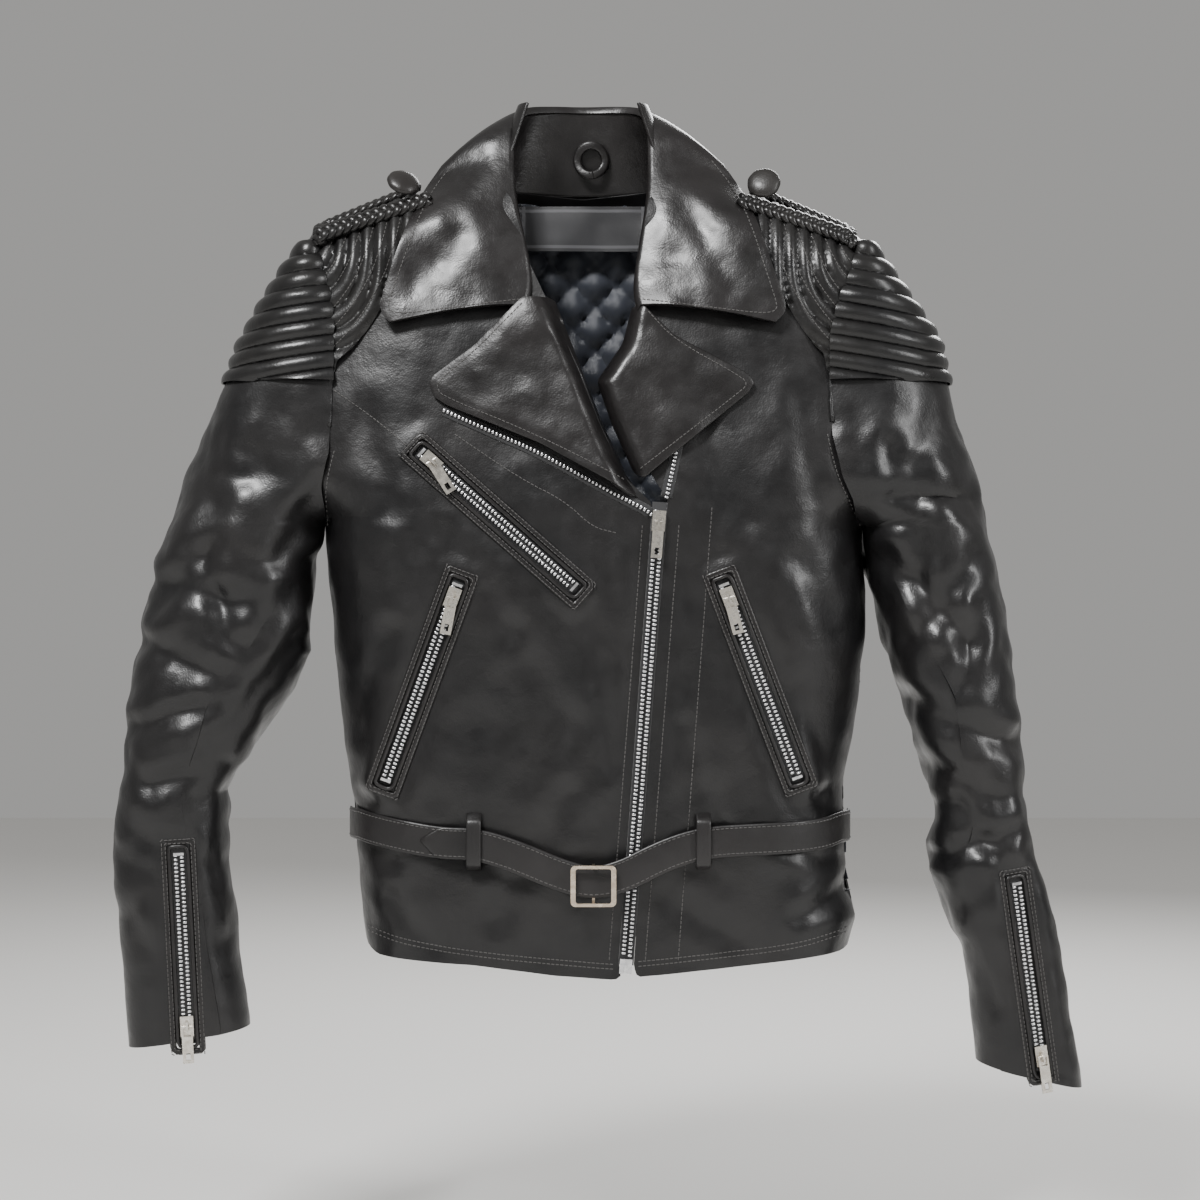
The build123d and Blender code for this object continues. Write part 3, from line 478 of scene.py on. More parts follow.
def seated(points, names, margin):
    """Points moved onto a flat seat just behind each zip, with a soft slope round it."""
    points = points.copy()
    for zip_name in names:
        middle, along, across, out = zips[zip_name]
        off = points - middle
        a = np.maximum(np.abs(off @ along) - LENGTHS[zip_name] / 2 - 8, 0)
        b = np.maximum(np.abs(off @ across) - 9, 0)
        height = off @ out
        near = np.clip(1.0 - np.hypot(a, b) / margin, 0, 1) * (height > -40)
        near = near * near * (3 - 2 * near)
        points += out * ((-SEAT_DEPTH - height) * near)[:, None]
    return points


# %% [markdown]
# The body panels are cut to their outlines in front view, laid on the body shape, and moved a
# little along their normals: listed folds where the leather hangs and pulls, soft
# unevenness, and a shallow seat under each zip.

# %% Laying a panel on the body
SEAM_RIGHT = [(-213, -57), (-208, -68), (-200, -97), (-195, -125), (-193.5, -168), (-195, -220),
              (-201, -244), (-203, -272)]
SEAM_LEFT = [(199, -58), (190, -85), (178, -115), (173, -133), (172, -170), (174, -208), (181, -238),
             (192, -258), (201, -272)]
FRONT_FOLDS = [(-190, -480, -150, -520, 12, 1.6), (-120, -505, -60, -530, 12, 1.4),
               (-150, -350, -178, -420, 14, 1.6), (-60, -350, -20, -420, 16, 1.3),
               (-20, -470, -70, -560, 16, 1.8), (60, -330, 90, -300, 16, 1.5),
               (66, -420, 90, -500, 12, 1.6), (150, -300, 178, -350, 14, 1.7),
               (120, -500, 170, -520, 10, 1.9), (150, -560, 190, -540, 12, 2.4),
               (-110, -280, -60, -350, 14, 1.2), (-5, -330, 12, -450, 10, 1.8),
               (-170, -190, -150, -260, 15, 1.6), (80, -200, 110, -270, 16, 1.6),
               (150, -180, 160, -250, 14, 1.4), (-150, -545, -120, -580, 12, 1.6),
               (50, -545, 100, -575, 14, 1.8), (165, -470, 178, -500, 9, 1.8)]
BACK_FOLDS = [(-150, -120, -110, -230, 22, 2.6), (140, -120, 105, -230, 22, 2.6),
              (-90, -330, -150, -420, 20, 2.4), (80, -320, 150, -410, 20, 2.4),
              (-40, -420, -70, -540, 18, 2.0), (50, -430, 60, -550, 18, 2.0),
              (-170, -300, -185, -380, 12, 2.2), (165, -300, 185, -380, 12, 2.2)]


def lay_panel(name, outline, back=False, spacing=4.0, lift=0.0, relief=None):
    """Points and faces of a panel. The outline is (x, z) in front view."""
    edge = resample(outline, spacing, True)
    flat = np.stack([walk(edge[:, 0], edge[:, 1]), edge[:, 1]], 1)
    places, faces = cut_sheet(flat, spacing)
    x, depth = body_point(places[:, 0], places[:, 1])
    sign = 1.0 if back else -1.0
    points = np.stack([x, sign * depth, places[:, 1]], 1)
    step = 1.5
    xu, du = body_point(places[:, 0] + step, places[:, 1])
    xz, dz = body_point(places[:, 0], places[:, 1] - step)
    across = np.stack([xu - x, sign * (du - depth), 0 * x], 1)
    down = np.stack([xz - x, sign * (dz - depth), 0 * x - step], 1)
    out = np.cross(across, down) * (1.0 if back else -1.0)
    out = np.where(np.linalg.norm(out, axis=1)[:, None] < 1e-6, (0, sign, 0), out)
    out /= np.linalg.norm(out, axis=1)[:, None]
    out *= np.where(out[:, 1] * sign < -0.2, -1.0, 1.0)[:, None]
    seen = np.stack([x, places[:, 1]], 1)
    bump = creased(seen, BACK_FOLDS if back else FRONT_FOLDS)
    bump = bump + wander(points, 62.0, 2.6, 3) + wander(points, 21.0, 0.9, 5)
    if relief is not None:
        bump = relief(seen, bump)
    points = points + out * (bump + lift)[:, None]
    if not back and relief is None:
        points = seated(points, zips, 16.0)
    if back:
        faces = [f[::-1] for f in faces]
    return points, faces


HEM_RIGHT = [(15, -606), (-29, -603), (-90, -595), (-161, -590), (-171, -584)]
HEM_LEFT = [(31, -604), (88, -598), (138, -592), (181, -588), (190, -584)]
gap = 5.4
right_front = ([(-80, -8), (-62, -30), (-48, -80), (-34, -110), (-10, -163), (4, -200), (22, -239)]
               + [(47 - gap, -258), (23 - gap, -594), (19, -603)] + HEM_RIGHT
               + [(-178, -530), (-184, -478), (-189, -441), (-196, -375), (-201, -309), (-204, -274)]
               + SEAM_RIGHT[::-1])
left_front = ([(62, -8), (40, -30), (33, -77), (30, -108), (22, -150), (24, -185), (37, -230)]
              + [(47 + gap, -255), (23 + gap, -596)] + HEM_LEFT
              + [(197, -565), (191, -530), (189, -466), (195, -423), (200, -388), (203, -354),
                 (204, -320), (202, -274)] + SEAM_LEFT[::-1])
back = ([(-85, -7), (-60, -16), (NECK_X, -22), (45, -16), (67, -7)] + SEAM_LEFT
        + [(204, -320), (203, -354), (200, -388), (195, -423), (189, -466), (191, -530), (197, -565),
           (190, -584), (100, -588), (0, -590), (-100, -588), (-171, -584), (-178, -530),
           (-184, -478), (-189, -441), (-196, -375), (-201, -309), (-204, -274)] + SEAM_RIGHT[::-1])
panels = {}
for name, outline, is_back in (("front_panel_right", right_front, False),
                               ("front_panel_left", left_front, False), ("back_panel", back, True)):
    points, faces = lay_panel(name, outline, is_back)
    panel = add_piece(name + "_leather", points, faces, body_leather, stands_for=[name])
    thicken(panel, 1.3)
    panels[name] = panel
    print(name, len(points), "points")

# %% [markdown]
# The shoulders are quilted: thin wadding is stitched into channels that ring the shoulder point.
# Each channel is a rounded ridge with its stitching in the valley, so the height over the body
# is a row of half circles in the distance from the shoulder point.

# %% Quilted shoulders
CHANNELS = 8


def yoke_distance(seen, side):
    tip = (-213, -57) if side < 0 else (199, -58)
    inward = (seen[:, 0] - tip[0]) * -side
    return np.hypot(inward / 80, np.minimum(seen[:, 1] - tip[1] - 0.41 * inward * -1, 0) / 112)


def quilted(share, height):
    wave = np.abs(np.sin(math.pi * share))
    return height * wave ** 0.72 - 0.6


def yoke_outline(side, reach=1.0):
    seam = np.array(SEAM_RIGHT if side < 0 else SEAM_LEFT, float)
    tip = seam[0]
    turn = np.linspace(0, 1, 16)
    arc = []
    for t in turn:
        angle = t * math.pi / 2
        inward = 80 * reach * math.cos(angle)
        arc.append((tip[0] - side * inward, tip[1] + 0.41 * inward - 112 * reach * math.sin(angle)))
    low = arc[-1][1]
    edge = [p for p in seam if p[1] > low + 4]
    end = (np.interp(-low, -seam[:, 1], seam[:, 0]), low)
    arc = [p for p in arc if (p[0] - np.interp(-p[1], -seam[:, 1], seam[:, 0])) * -side > 3]
    return [tuple(p) for p in edge] + [end] + arc[::-1]


quilts = []
for side_name, side in side_names():
    parts = []
    for is_back in (False, True):
        def quilt(seen, bump, side=side):
            share = yoke_distance(seen, side) * CHANNELS
            return 1.2 + quilted(share, 3.8) + bump * 0.3
        parts.append(lay_panel("yoke", yoke_outline(side), is_back, 2.3, relief=quilt))
    points, faces = together(parts)
    yoke = add_piece("shoulder_quilt_" + side_name, points, faces, quilted_leather,
                     stands_for=["shoulder_yoke_" + side_name])
    face_out(yoke)
    thicken(yoke, 1.2)
    quilts.append(yoke)
    print(yoke.name, len(points), "points")

# %% [markdown]
# A sleeve is a tube whose rings are level. Above the armpit each ring is open and starts and ends
# on the armhole seam; below it the ring closes, and a second panel, the under sleeve, fills the
# inner side between its two seams. Silhouettes give each ring its place and width.

# %% The sleeve shape
OUTER = {-1: [(-58, 214), (-72, 225), (-83, 233), (-106, 247), (-140, 266), (-155, 271), (-200, 292),
              (-245, 307), (-298, 326), (-358, 340), (-388, 345), (-448, 354), (-500, 358), (-538, 355),
              (-628, 349), (-661, 346), (-690, 345)],
         1: [(-57, 200), (-72, 213), (-100, 233), (-133, 256), (-157, 261), (-208, 276), (-257, 290),
             (-307, 301), (-369, 310), (-418, 314), (-476, 317), (-505, 327), (-543, 336), (-571, 343),
             (-604, 349), (-636, 355), (-667, 362), (-700, 364)]}
INNER = {-1: [(-272, 203), (-309, 209), (-366, 214), (-394, 230), (-441, 260), (-470, 276), (-523, 275),
              (-583, 269), (-646, 260), (-690, 258)],
         1: [(-272, 201), (-300, 204), (-335, 212), (-369, 220), (-401, 229), (-441, 241), (-481, 255),
             (-499, 256), (-518, 250), (-540, 252), (-567, 261), (-600, 274), (-629, 280), (-666, 284),
             (-700, 287)]}
HALF_DEPTH = {-1: [(-57, 1), (-66, 30), (-80, 40), (-106, 52), (-200, 60), (-273, 60), (-368, 54), (-490, 42),
                   (-675, 33)],
              1: [(-57, 1), (-66, 30), (-80, 38), (-106, 50), (-200, 58), (-273, 58), (-369, 52), (-500, 41),
                  (-705, 33)]}
FORWARD = [(-700, 14), (-490, 12), (-368, 7), (-272, 2), (-200, 0), (0, 0)]
UNDER = [(-272, 0.0), (-352, 0.28), (-401, 0.42), (-480, 0.34), (-560, 0.22), (-700, 0.2)]
CUFF = {-1: (-303, -653, 0.172), 1: (324, -681, -0.25)}
FOLDS = {-1: [(-282, -288, -322, -330, 15, 4.0), (-258, -330, -330, -312, 14, 3.6),
              (-212, -300, -272, -392, 13, 3.2), (-286, -298, -266, -358, 12, 3.4),
              (-334, -360, -284, -380, 14, 3.6), (-222, -360, -284, -436, 13, 3.4),
              (-278, -404, -336, -420, 13, 3.8), (-274, -448, -326, -464, 12, 2.6),
              (-200, -240, -232, -300, 12, 2.8), (-300, -200, -280, -262, 18, 2.2),
              (-330, -500, -290, -520, 12, 1.8), (-345, -560, -318, -600, 14, 1.8),
              (-232, -180, -250, -240, 16, 2.0)],
         1: [(232, -230, 240, -316, 13, 3.8), (214, -298, 274, -358, 14, 3.8),
             (278, -298, 234, -358, 13, 3.2), (228, -402, 304, -432, 14, 4.0),
             (252, -516, 304, -500, 12, 3.6), (266, -478, 312, -538, 12, 3.2),
             (274, -584, 296, -628, 10, 2.6), (214, -215, 222, -268, 11, 3.0),
             (282, -330, 268, -400, 13, 2.6), (244, -452, 296, -474, 13, 3.0),
             (270, -180, 276, -260, 15, 2.0), (330, -590, 350, -640, 10, 1.8)]}


def look(table, z, side=None):
    rows = np.array(table[side] if side is not None else table, float)
    rows = rows[np.argsort(rows[:, 0])]
    return np.interp(z, rows[:, 0], rows[:, 1])


def seam_at(z, side):
    seam = np.array(SEAM_RIGHT if side < 0 else SEAM_LEFT, float)
    return np.interp(-z, -seam[:, 1], np.abs(seam[:, 0]))


def ring(side, z):
    """Centre, half width, half depth, forward shift, and where the top sleeve ends, as an angle."""
    outer, depth = look(OUTER, z, side), look(HALF_DEPTH, z, side)
    if z > ARMPIT:
        seam = seam_at(z, side)
        at_seam = max(float(body_depth(side * seam, z)), 0.5)
        depth = max(depth, at_seam * 1.03)
        back_cos = math.sqrt(1 - (at_seam / depth) ** 2)
        half = (outer - seam) / (1 + back_cos)
        return outer - half, half, depth, look(FORWARD, z), math.pi - math.asin(at_seam / depth)
    inner = look(INNER, z, side)
    half = (outer - inner) / 2
    return outer - half, half, depth, look(FORWARD, z), math.acos(2 * look(UNDER, z) - 1)


def sleeve_rows(side, high, low, columns, under=False, shrink=0.0, step=3.2):
    rows = []
    count = int((high - low) / step) + 1
    cuff_x, _, slope = CUFF[side]
    heights = np.linspace(high, low, count)
    for z in heights:
        centre, half, depth, forward, reach = ring(side, z)
        half, depth = max(half - shrink, 0.2), max(depth - shrink, 0.2)
        if under:
            angle = np.linspace(reach, 2 * math.pi - reach, columns)
        else:
            angle = np.linspace(-reach, reach, columns)
        c, s = np.cos(angle), np.sin(angle)
        square = 1 + 0.05 * np.sin(2 * angle) ** 2
        x = centre + half * c * square
        y = -forward - depth * s * square
        tilt = slope * np.clip((-430 - z) / 200, 0, 1)
        level = z + tilt * (side * x - cuff_x)
        rows.append(np.stack([side * x, y, level], 1))
    return np.array(rows), heights


def sleeve_normals(rows, side):
    along = np.gradient(rows, axis=0)
    around = np.gradient(rows, axis=1)
    out = np.cross(around, along)
    out /= np.maximum(np.linalg.norm(out, axis=2), 1e-9)[..., None]
    middle = rows.mean(axis=1, keepdims=True)
    wrong = np.sum(out * (rows - middle), axis=(1, 2)) < 0
    out[wrong] *= -1
    return out


def sleeve_relief(points, side, name):
    seen = points[:, [0, 2]]
    front = np.clip(0.5 - points[:, 1] / 30, 0.15, 1)
    folds = creased(seen, FOLDS[side]) * front
    mirrored = creased(seen * (1, 1) + (side * 12, 18), FOLDS[side]) * (1 - front)
    bump = folds + mirrored + wander(points * (1, 1, 0.8), 46.0, 5.0, 8 + side)
    bump += wander(points, 17.0, 1.7, 12 + side)
    cuff_calm = np.clip((points[:, 2] - CUFF[side][1]) / 110, 0.3, 1)
    return bump * cuff_calm * np.clip((-60 - points[:, 2]) / 60, 0.05, 1)


def sleeve_piece(name, side, rows, relief, material, node, spare=1.3):
    out = sleeve_normals(rows, side)
    flat, lines = rows.reshape(-1, 3), out.reshape(-1, 3)
    faces = grid_faces(rows.shape[0], rows.shape[1])
    cuff = "cuff_zip_" + ("left" if side > 0 else "right")
    points = seated(flat + lines * relief(flat)[:, None], [cuff], 17.0)
    piece = add_piece(name, points, faces, material, stands_for=[node])
    a, b = piece.data.polygons[len(faces) // 2].normal, lines[len(flat) // 2]
    if a.dot(Vector(b)) < 0:
        piece.data.flip_normals()
    thicken(piece, spare)
    return piece


# %% Sleeves
CAP_END = -166.0
sleeves = {}
for side_name, side in side_names():
    cuff_end = CUFF[side][1]
    cuff_name = "cuff_zip_" + side_name

    def plain(points, side=side, cuff_name=cuff_name):
        bump = sleeve_relief(points, side, cuff_name)
        return bump * np.clip((CAP_END + 6 - points[:, 2]) / 34, 0, 1)

    def cap(points, side=side, cuff_name=cuff_name):
        inner = np.array([seam_at(z, side) for z in points[:, 2]])
        droop = np.clip(np.abs(points[:, 0]) - inner, 0, 70) * 0.16
        share = (-60 - points[:, 2] - droop) / (-60 - CAP_END - 8) * CHANNELS
        ends = np.clip((-58 - points[:, 2]) / 8, 0, 1)
        return (1.4 + quilted(share, 3.8)) * ends + 0.15 * sleeve_relief(points, side, cuff_name)

    rows, _ = sleeve_rows(side, CAP_END, cuff_end, 84)
    top = sleeve_piece("sleeve_top_leather_" + side_name, side, rows, plain, body_leather,
                       "sleeve_top_" + side_name)
    rows, _ = sleeve_rows(side, ARMPIT - 0.5, cuff_end, 44, under=True)
    low = sleeve_piece("sleeve_under_leather_" + side_name, side, rows, plain, body_leather,
                       "sleeve_under_" + side_name)
    rows, _ = sleeve_rows(side, -58.0, CAP_END - 1, 90, step=1.0)
    quilt = sleeve_piece("sleeve_quilt_" + side_name, side, rows, cap, quilted_leather,
                         "sleeve_cap_" + side_name)
    rows, _ = sleeve_rows(side, -150.0, cuff_end + 8, 40, shrink=10.5, step=6.0)
    under_rows, _ = sleeve_rows(side, ARMPIT - 0.5, cuff_end + 8, 20, under=True, shrink=10.5, step=6.0)
    faces = grid_faces(*rows.shape[:2])
    inner_faces = grid_faces(*under_rows.shape[:2])
    points, faces = together([(rows.reshape(-1, 3), faces), (under_rows.reshape(-1, 3), inner_faces)])
    lining = add_piece("sleeve_satin_" + side_name, points, faces, satin,
                       stands_for=["sleeve_lining_" + side_name])
    face_out(lining)
    thicken(lining, 0.6)
    sleeves[side] = (top, low, quilt)
    print(side_name, "sleeve", [len(p.data.vertices) for p in sleeves[side]])

# %% [markdown]
# The lining is quilted satin. Its stitched diamonds puff up between the lines, so the height
# is the product of two slanted waves. It's one loose sheet behind the panels, and it shows in
# the neck opening and under the hem.

# %% Satin lining
def diamonds(seen, bump):
    size = 34.0
    a = np.abs(np.sin(math.pi * (seen[:, 0] + seen[:, 1]) / size))
    b = np.abs(np.sin(math.pi * (seen[:, 0] - seen[:, 1]) / size))
    puff = 9.0 * np.sqrt(a * b)
    return -puff - bump * 0.5


def in_from(outline, by):
    outline = np.asarray(outline, float)
    middle = outline.mean(axis=0)
    return [tuple(middle + (p - middle) * by) for p in outline]


LINING_DEPTH = 7.0
parts = [lay_panel("lining", in_from(back, 0.985), True, 4.0, lift=-LINING_DEPTH, relief=diamonds)]
for outline in (right_front, left_front):
    shrunk = in_from(outline, 0.975)
    parts.append(lay_panel("lining", shrunk, False, 5.0, lift=-LINING_DEPTH + 3,
                           relief=lambda s, b: -2 + 0 * b))
points, faces = together(parts)
lining = add_piece("body_satin", points, faces, satin, stands_for=["body_lining"])
thicken(lining, 0.6, 0.0)
print("lining", len(points), "points")

# %% [markdown]
# The collar folds over its stand and lies on the shoulders. Each line across it is a curve with
# three control points: the fold, a point that lifts it into a soft roll, and the outer edge.
# The lines run from the front corner, round the back of the neck, to the other corner.

# %% Collar
COLLAR_LIFT = 10.5


def rest_on(x, z, lift=COLLAR_LIFT):
    return -(float(body_depth(x, z)) + lift)


RIGHT_LEAF = [((-52, -112), (-150, -125)), ((-49, -98), (-158, -116)), ((-48, -84), (-154, -100)),
              ((-53, -58), (-147, -76)), ((-60, -28), (-138, -50)), ((-63, 0), (-129, -22)),
              ((-63, 20), (-119, -8))]
LEFT_LEAF = [((33, -112), (132, -125)), ((30, -98), (141, -116)), ((31, -84), (136, -100)),
             ((35, -58), (128, -76)), ((40, -28), (120, -50)), ((42, 0), (111, -22)),
             ((42, 20), (101, -8))]
BACK_LINE = [((-61, -6, 33), (-113, -6, 2)), ((-58, 6, 42), (-106, 20, 0)),
             ((-50, 18, 47), (-92, 44, -14)), ((-30, 27, 49), (-58, 53, -27)),
             ((-9, 30, 49), (-9, 56, -31)), ((12, 27, 49), (40, 53, -27)), ((31, 18, 47), (74, 44, -14)),
             ((39, 6, 42), (88, 20, 0)), ((41, -6, 33), (95, -6, 2))]


def leaf_lines(leaf):
    lines = []
    for (fx, fz), (ox, oz) in leaf:
        share = (fz + 112) / 134
        fold_y = rest_on(fx, min(fz, -12), 7) * (1 - share) ** 0.6 - 15 * share
        lines.append(((fx, fold_y, fz), (ox, rest_on(ox, oz), oz)))
    return lines


lines = leaf_lines(RIGHT_LEAF) + BACK_LINE + leaf_lines(LEFT_LEAF)[::-1]
folds_line = rounded([l[0] for l in lines], 3)
outer_line = rounded([l[1] for l in lines], 3)
steps = 150
folds_line = folds_line[np.linspace(0, len(folds_line) - 1, steps).astype(int)]
outer_line = outer_line[np.linspace(0, len(outer_line) - 1, steps).astype(int)]
middle = (folds_line + outer_line) / 2
centre = np.array([NECK_X, 4.0, 0.0])
push = middle - centre
push[:, 2] = 0
push /= np.linalg.norm(push, axis=1)[:, None]
roll = folds_line * 0.78 + outer_line * 0.22 + push * 13 + np.array([0, 0, 5.0])
t = np.linspace(0, 1, 34)[None, :, None]
surface = ((1 - t) ** 2 * folds_line[:, None] + 2 * t * (1 - t) * roll[:, None]
           + t ** 2 * outer_line[:, None])
inner_lip = folds_line - push * 2.5 + np.array([0, 0, -5.0])
surface = np.concatenate([inner_lip[:, None], surface], axis=1)
flat = surface.reshape(-1, 3)
lift = wander(flat, 44.0, 3.0, 21) + wander(flat, 16.0, 0.9, 22)
lift += creased(flat[:, [0, 2]], [(-130, -95, -100, -60, 14, 1.2), (100, -100, 70, -40, 14, 1.2)])
flat = flat + np.array([0, -1.0, 0]) * (lift * np.where(flat[:, 1] < 10, 1, -1))[:, None]
fall = add_piece("collar_leather", flat, grid_faces(*surface.shape[:2]), collar_leather,
                 stands_for=["collar_fall"])
if fall.data.polygons[15 * 34 + 20].normal.y > 0:
    fall.data.flip_normals()
thicken(fall, 3.4, -1.0, 0.9)
print("collar", len(flat), "points")

# %% [markdown]
# The stand is the upright band inside the collar. Its back is what shows through the neck.

# %% Collar stand
turn = np.radians(np.linspace(-32, 212, 90))
rows = []
for z in np.linspace(-18, 44, 22):
    share = (z + 18) / 62
    wide, deep = 72 + (48 - 72) * share, 40 + (31 - 40) * share
    rows.append(np.stack([NECK_X + wide * np.cos(turn), deep * np.sin(turn), 0 * turn + z], 1))
rows = np.array(rows)
flat = rows.reshape(-1, 3)
flat = flat + np.stack([0 * flat[:, 0], wander(flat, 30.0, 1.6, 31), 0 * flat[:, 0]], 1)
stand = add_piece("collar_stand_leather", flat, grid_faces(*rows.shape[:2]), collar_leather,
                  stands_for=["collar_stand"])
thicken(stand, 2.4, 0.0, 0.6)

# %% [markdown]
# A lapel is the top of a front, turned out. Its outer edge lies near the chest, and towards the
# roll it rises and turns back in, so its height comes from how far it is from the roll line.

# %% Lapels
def lapel(side_name, outline, roll_line, lift, rise):
    edge = rounded(resample(outline, 5.0, True), 1, True)
    places, faces = cut_sheet(edge, 2.6)
    to_roll, _ = line_distance(places, roll_line)
    to_edge, _ = line_distance(places, np.vstack([edge, edge[:1]]))
    base = -body_depth(places[:, 0], places[:, 1])
    round_over = 1 - np.clip(1 - to_roll / 13, 0, 1) ** 2.2
    height = lift + rise * np.exp(-(to_roll - 16) ** 2 / 2600) * round_over - (1 - round_over) * (lift + 5)
    height += 1.5 * np.clip(to_edge / 9, 0, 1)
    points = np.stack([places[:, 0], base - height, places[:, 1]], 1)
    points[:, 1] -= wander(points, 38.0, 2.6, 41) + wander(points, 15.0, 0.8, 42)
    piece = add_piece("lapel_leather_" + side_name, points, faces, collar_leather,
                      stands_for=["lapel_" + side_name])
    if piece.data.polygons[10].normal.y > 0:
        piece.data.flip_normals()
    thicken(piece, 3.0, -1.0, 0.8)
    return piece


LAPEL_RIGHT = [(-53, -106), (-30, -106), (-8, -163), (6, -200), (24, -239), (39, -258), (31, -253),
               (-40, -214), (-108, -186), (-117, -180), (-121, -171), (-119, -165), (-88, -142)]
LAPEL_LEFT = [(36, -112), (27, -112), (20, -140), (1, -168), (12, -200), (28, -236), (35, -240),
              (112, -177), (117, -170), (113, -163), (58, -134)]
ROLL_RIGHT = [(-36, -95), (-30, -109), (-8, -163), (6, -200), (24, -239), (41, -262)]
ROLL_LEFT = [(30, -95), (26, -112), (19, -140), (0, -168), (11, -200), (27, -236)]
lapel_right = lapel("right", LAPEL_RIGHT, ROLL_RIGHT, 5.5, 6.0)
lapel_left = lapel("left", LAPEL_LEFT, ROLL_LEFT, 3.5, 5.0)

# %% [markdown]
# Things that are narrow and long, such as welts, piping, braids, belt and loops, are one tube
# swept along a line with a flattened section. First the welts, one rolled frame round each zip.

# %% Pocket and cuff welts
def zip_point(zip_name, along_by, across_by, up):
    middle, along, across, out = zips[zip_name]
    shape = np.broadcast(along_by, across_by, up).shape
    a, c, h = (np.broadcast_to(v, shape)[..., None] for v in (along_by, across_by, up))
    return middle + a * along + c * across + h * out


def zip_ring(zip_name, half_wide, spare_length, up):
    half = LENGTHS[zip_name] / 2 + spare_length
    corners = [(-half, -half_wide), (half, -half_wide), (half, half_wide), (-half, half_wide)]
    path = rounded(resample(corners, 6.0, True), 1, True)
    return zip_point(zip_name, path[:, 0], path[:, 1], up + 0 * path[:, 0])


for zip_name in POCKET_ZIPS:
    out = zips[zip_name][3]
    welt_parts = []
    for half_wide, thick, spare_length in ((6.9, 1.5, 7.0), (10.6, 2.4, 10.5)):
        path = zip_ring(zip_name, half_wide, spare_length, 0.3 if thick < 2 else -0.8)
        path = path + wander(path, 14.0, 0.5, 51)[:, None] * out
        welt_parts.append(sweep(path, out, thick, 1.5 if thick < 2 else 0.9, True, 10))
    points, faces = together(welt_parts)
    welt = add_piece(zip_name + "_frame", points, faces, collar_leather,
                     stands_for=[zip_name + "_welt"])
    face_out(welt)

# %% [markdown]
# A metal zip tooth is modelled once as a small block with bevelled edges. The rest are copies of
# it along both sides of the chain, the two sides half a step apart.

# %% Zip teeth
bpy.ops.object.select_all(action="DESELECT")
bpy.ops.mesh.primitive_cube_add(size=1.0)
tooth = bpy.context.object
tooth.dimensions = (1.75, 2.9, 2.2)
bpy.ops.object.transform_apply(scale=True)
bpy.ops.object.mode_set(mode="EDIT")
bpy.ops.mesh.select_all(action="SELECT")
bpy.ops.mesh.bevel(offset=0.42, segments=1)
bpy.ops.object.mode_set(mode="OBJECT")
TOOTH_POINTS = np.array([v.co for v in tooth.data.vertices])
TOOTH_FACES = [tuple(p.vertices) for p in tooth.data.polygons]
bpy.data.objects.remove(tooth)
print("a tooth has", len(TOOTH_FACES), "faces")
PITCH = 3.0


def copies(template, faces, centres, axis_x, axis_y, axis_z):
    centres = np.asarray(centres, float)
    axes = [np.broadcast_to(a, centres.shape) for a in (axis_x, axis_y, axis_z)]
    points = centres[:, None] + sum(template[None, :, k:k + 1] * axes[k][:, None] for k in range(3))
    count = len(template)
    every = [tuple(i + k * count for i in f) for k in range(len(centres)) for f in faces]
    return points.reshape(-1, 3), every


def chain_side(zip_name, side, half, up=0.0):
    middle, along, across, out = zips[zip_name]
    at = np.arange(-half + 1.0, half - 1.0, PITCH) + (PITCH / 2 if side > 0 else 0)
    centres = zip_point(zip_name, at, side * 2.3, up)
    return copies(TOOTH_POINTS, TOOTH_FACES, centres, along, across, out)


for zip_name in POCKET_ZIPS:
    half = LENGTHS[zip_name] / 2
    points, faces = together([chain_side(zip_name, side, half) for side in (-1, 1)])
    add_piece(zip_name + "_chain", points, faces, zip_metal, stands_for=[zip_name + "_teeth"])
left_low, left_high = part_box("main_zip_row_left")
right_low, right_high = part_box("main_zip_row_right")
main_middle = (np.array(left_low) + left_high + right_low + right_high) / 4 / MM
zips["main_zip"] = (main_middle,) + zips["main_zip"][1:]
for side, side_name in ((1, "left"), (-1, "right")):
    low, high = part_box("main_zip_row_" + side_name)
    middle = (np.array(low) + np.array(high)) / 2 / MM
    here = np.sign((middle - zips["main_zip"][0]) @ zips["main_zip"][2])
    points, faces = chain_side("main_zip", here, (high[2] - low[2]) / 2 / MM)
    add_piece("main_chain_" + side_name, points, faces, zip_metal,
              stands_for=["main_zip_row_" + side_name])

# %% [markdown]
# Above the slider the two rows part: one runs along the edge of the right lapel, the other goes
# up under the left one. They lie on the leather, so each point is found by dropping a line onto
# the panels from in front.

# %% Finding the leather under a line
def tree_of(pieces):
    points, faces = together([([np.array(v.co) / MM for v in p.data.vertices],
                               [tuple(f.vertices) for f in p.data.polygons]) for p in pieces])
    return BVHTree.FromPolygons([Vector(p) for p in points], faces)


def drop(tree, seen, from_back=False, lift=0.0):
    """Points and normals where lines from in front, or behind, meet the leather."""
    start, way = (200.0, (0, -1, 0)) if from_back else (-200.0, (0, 1, 0))
    points, normals = [], []
    for x, z in seen:
        hit, normal, _, _ = tree.ray_cast(Vector((x, start, z)), Vector(way))
        if hit is None:
            continue
        if normal.dot(Vector(way)) > 0:
            normal = -normal
        points.append(hit + normal * lift)
        normals.append(normal)
    return np.array(points), np.array(normals)


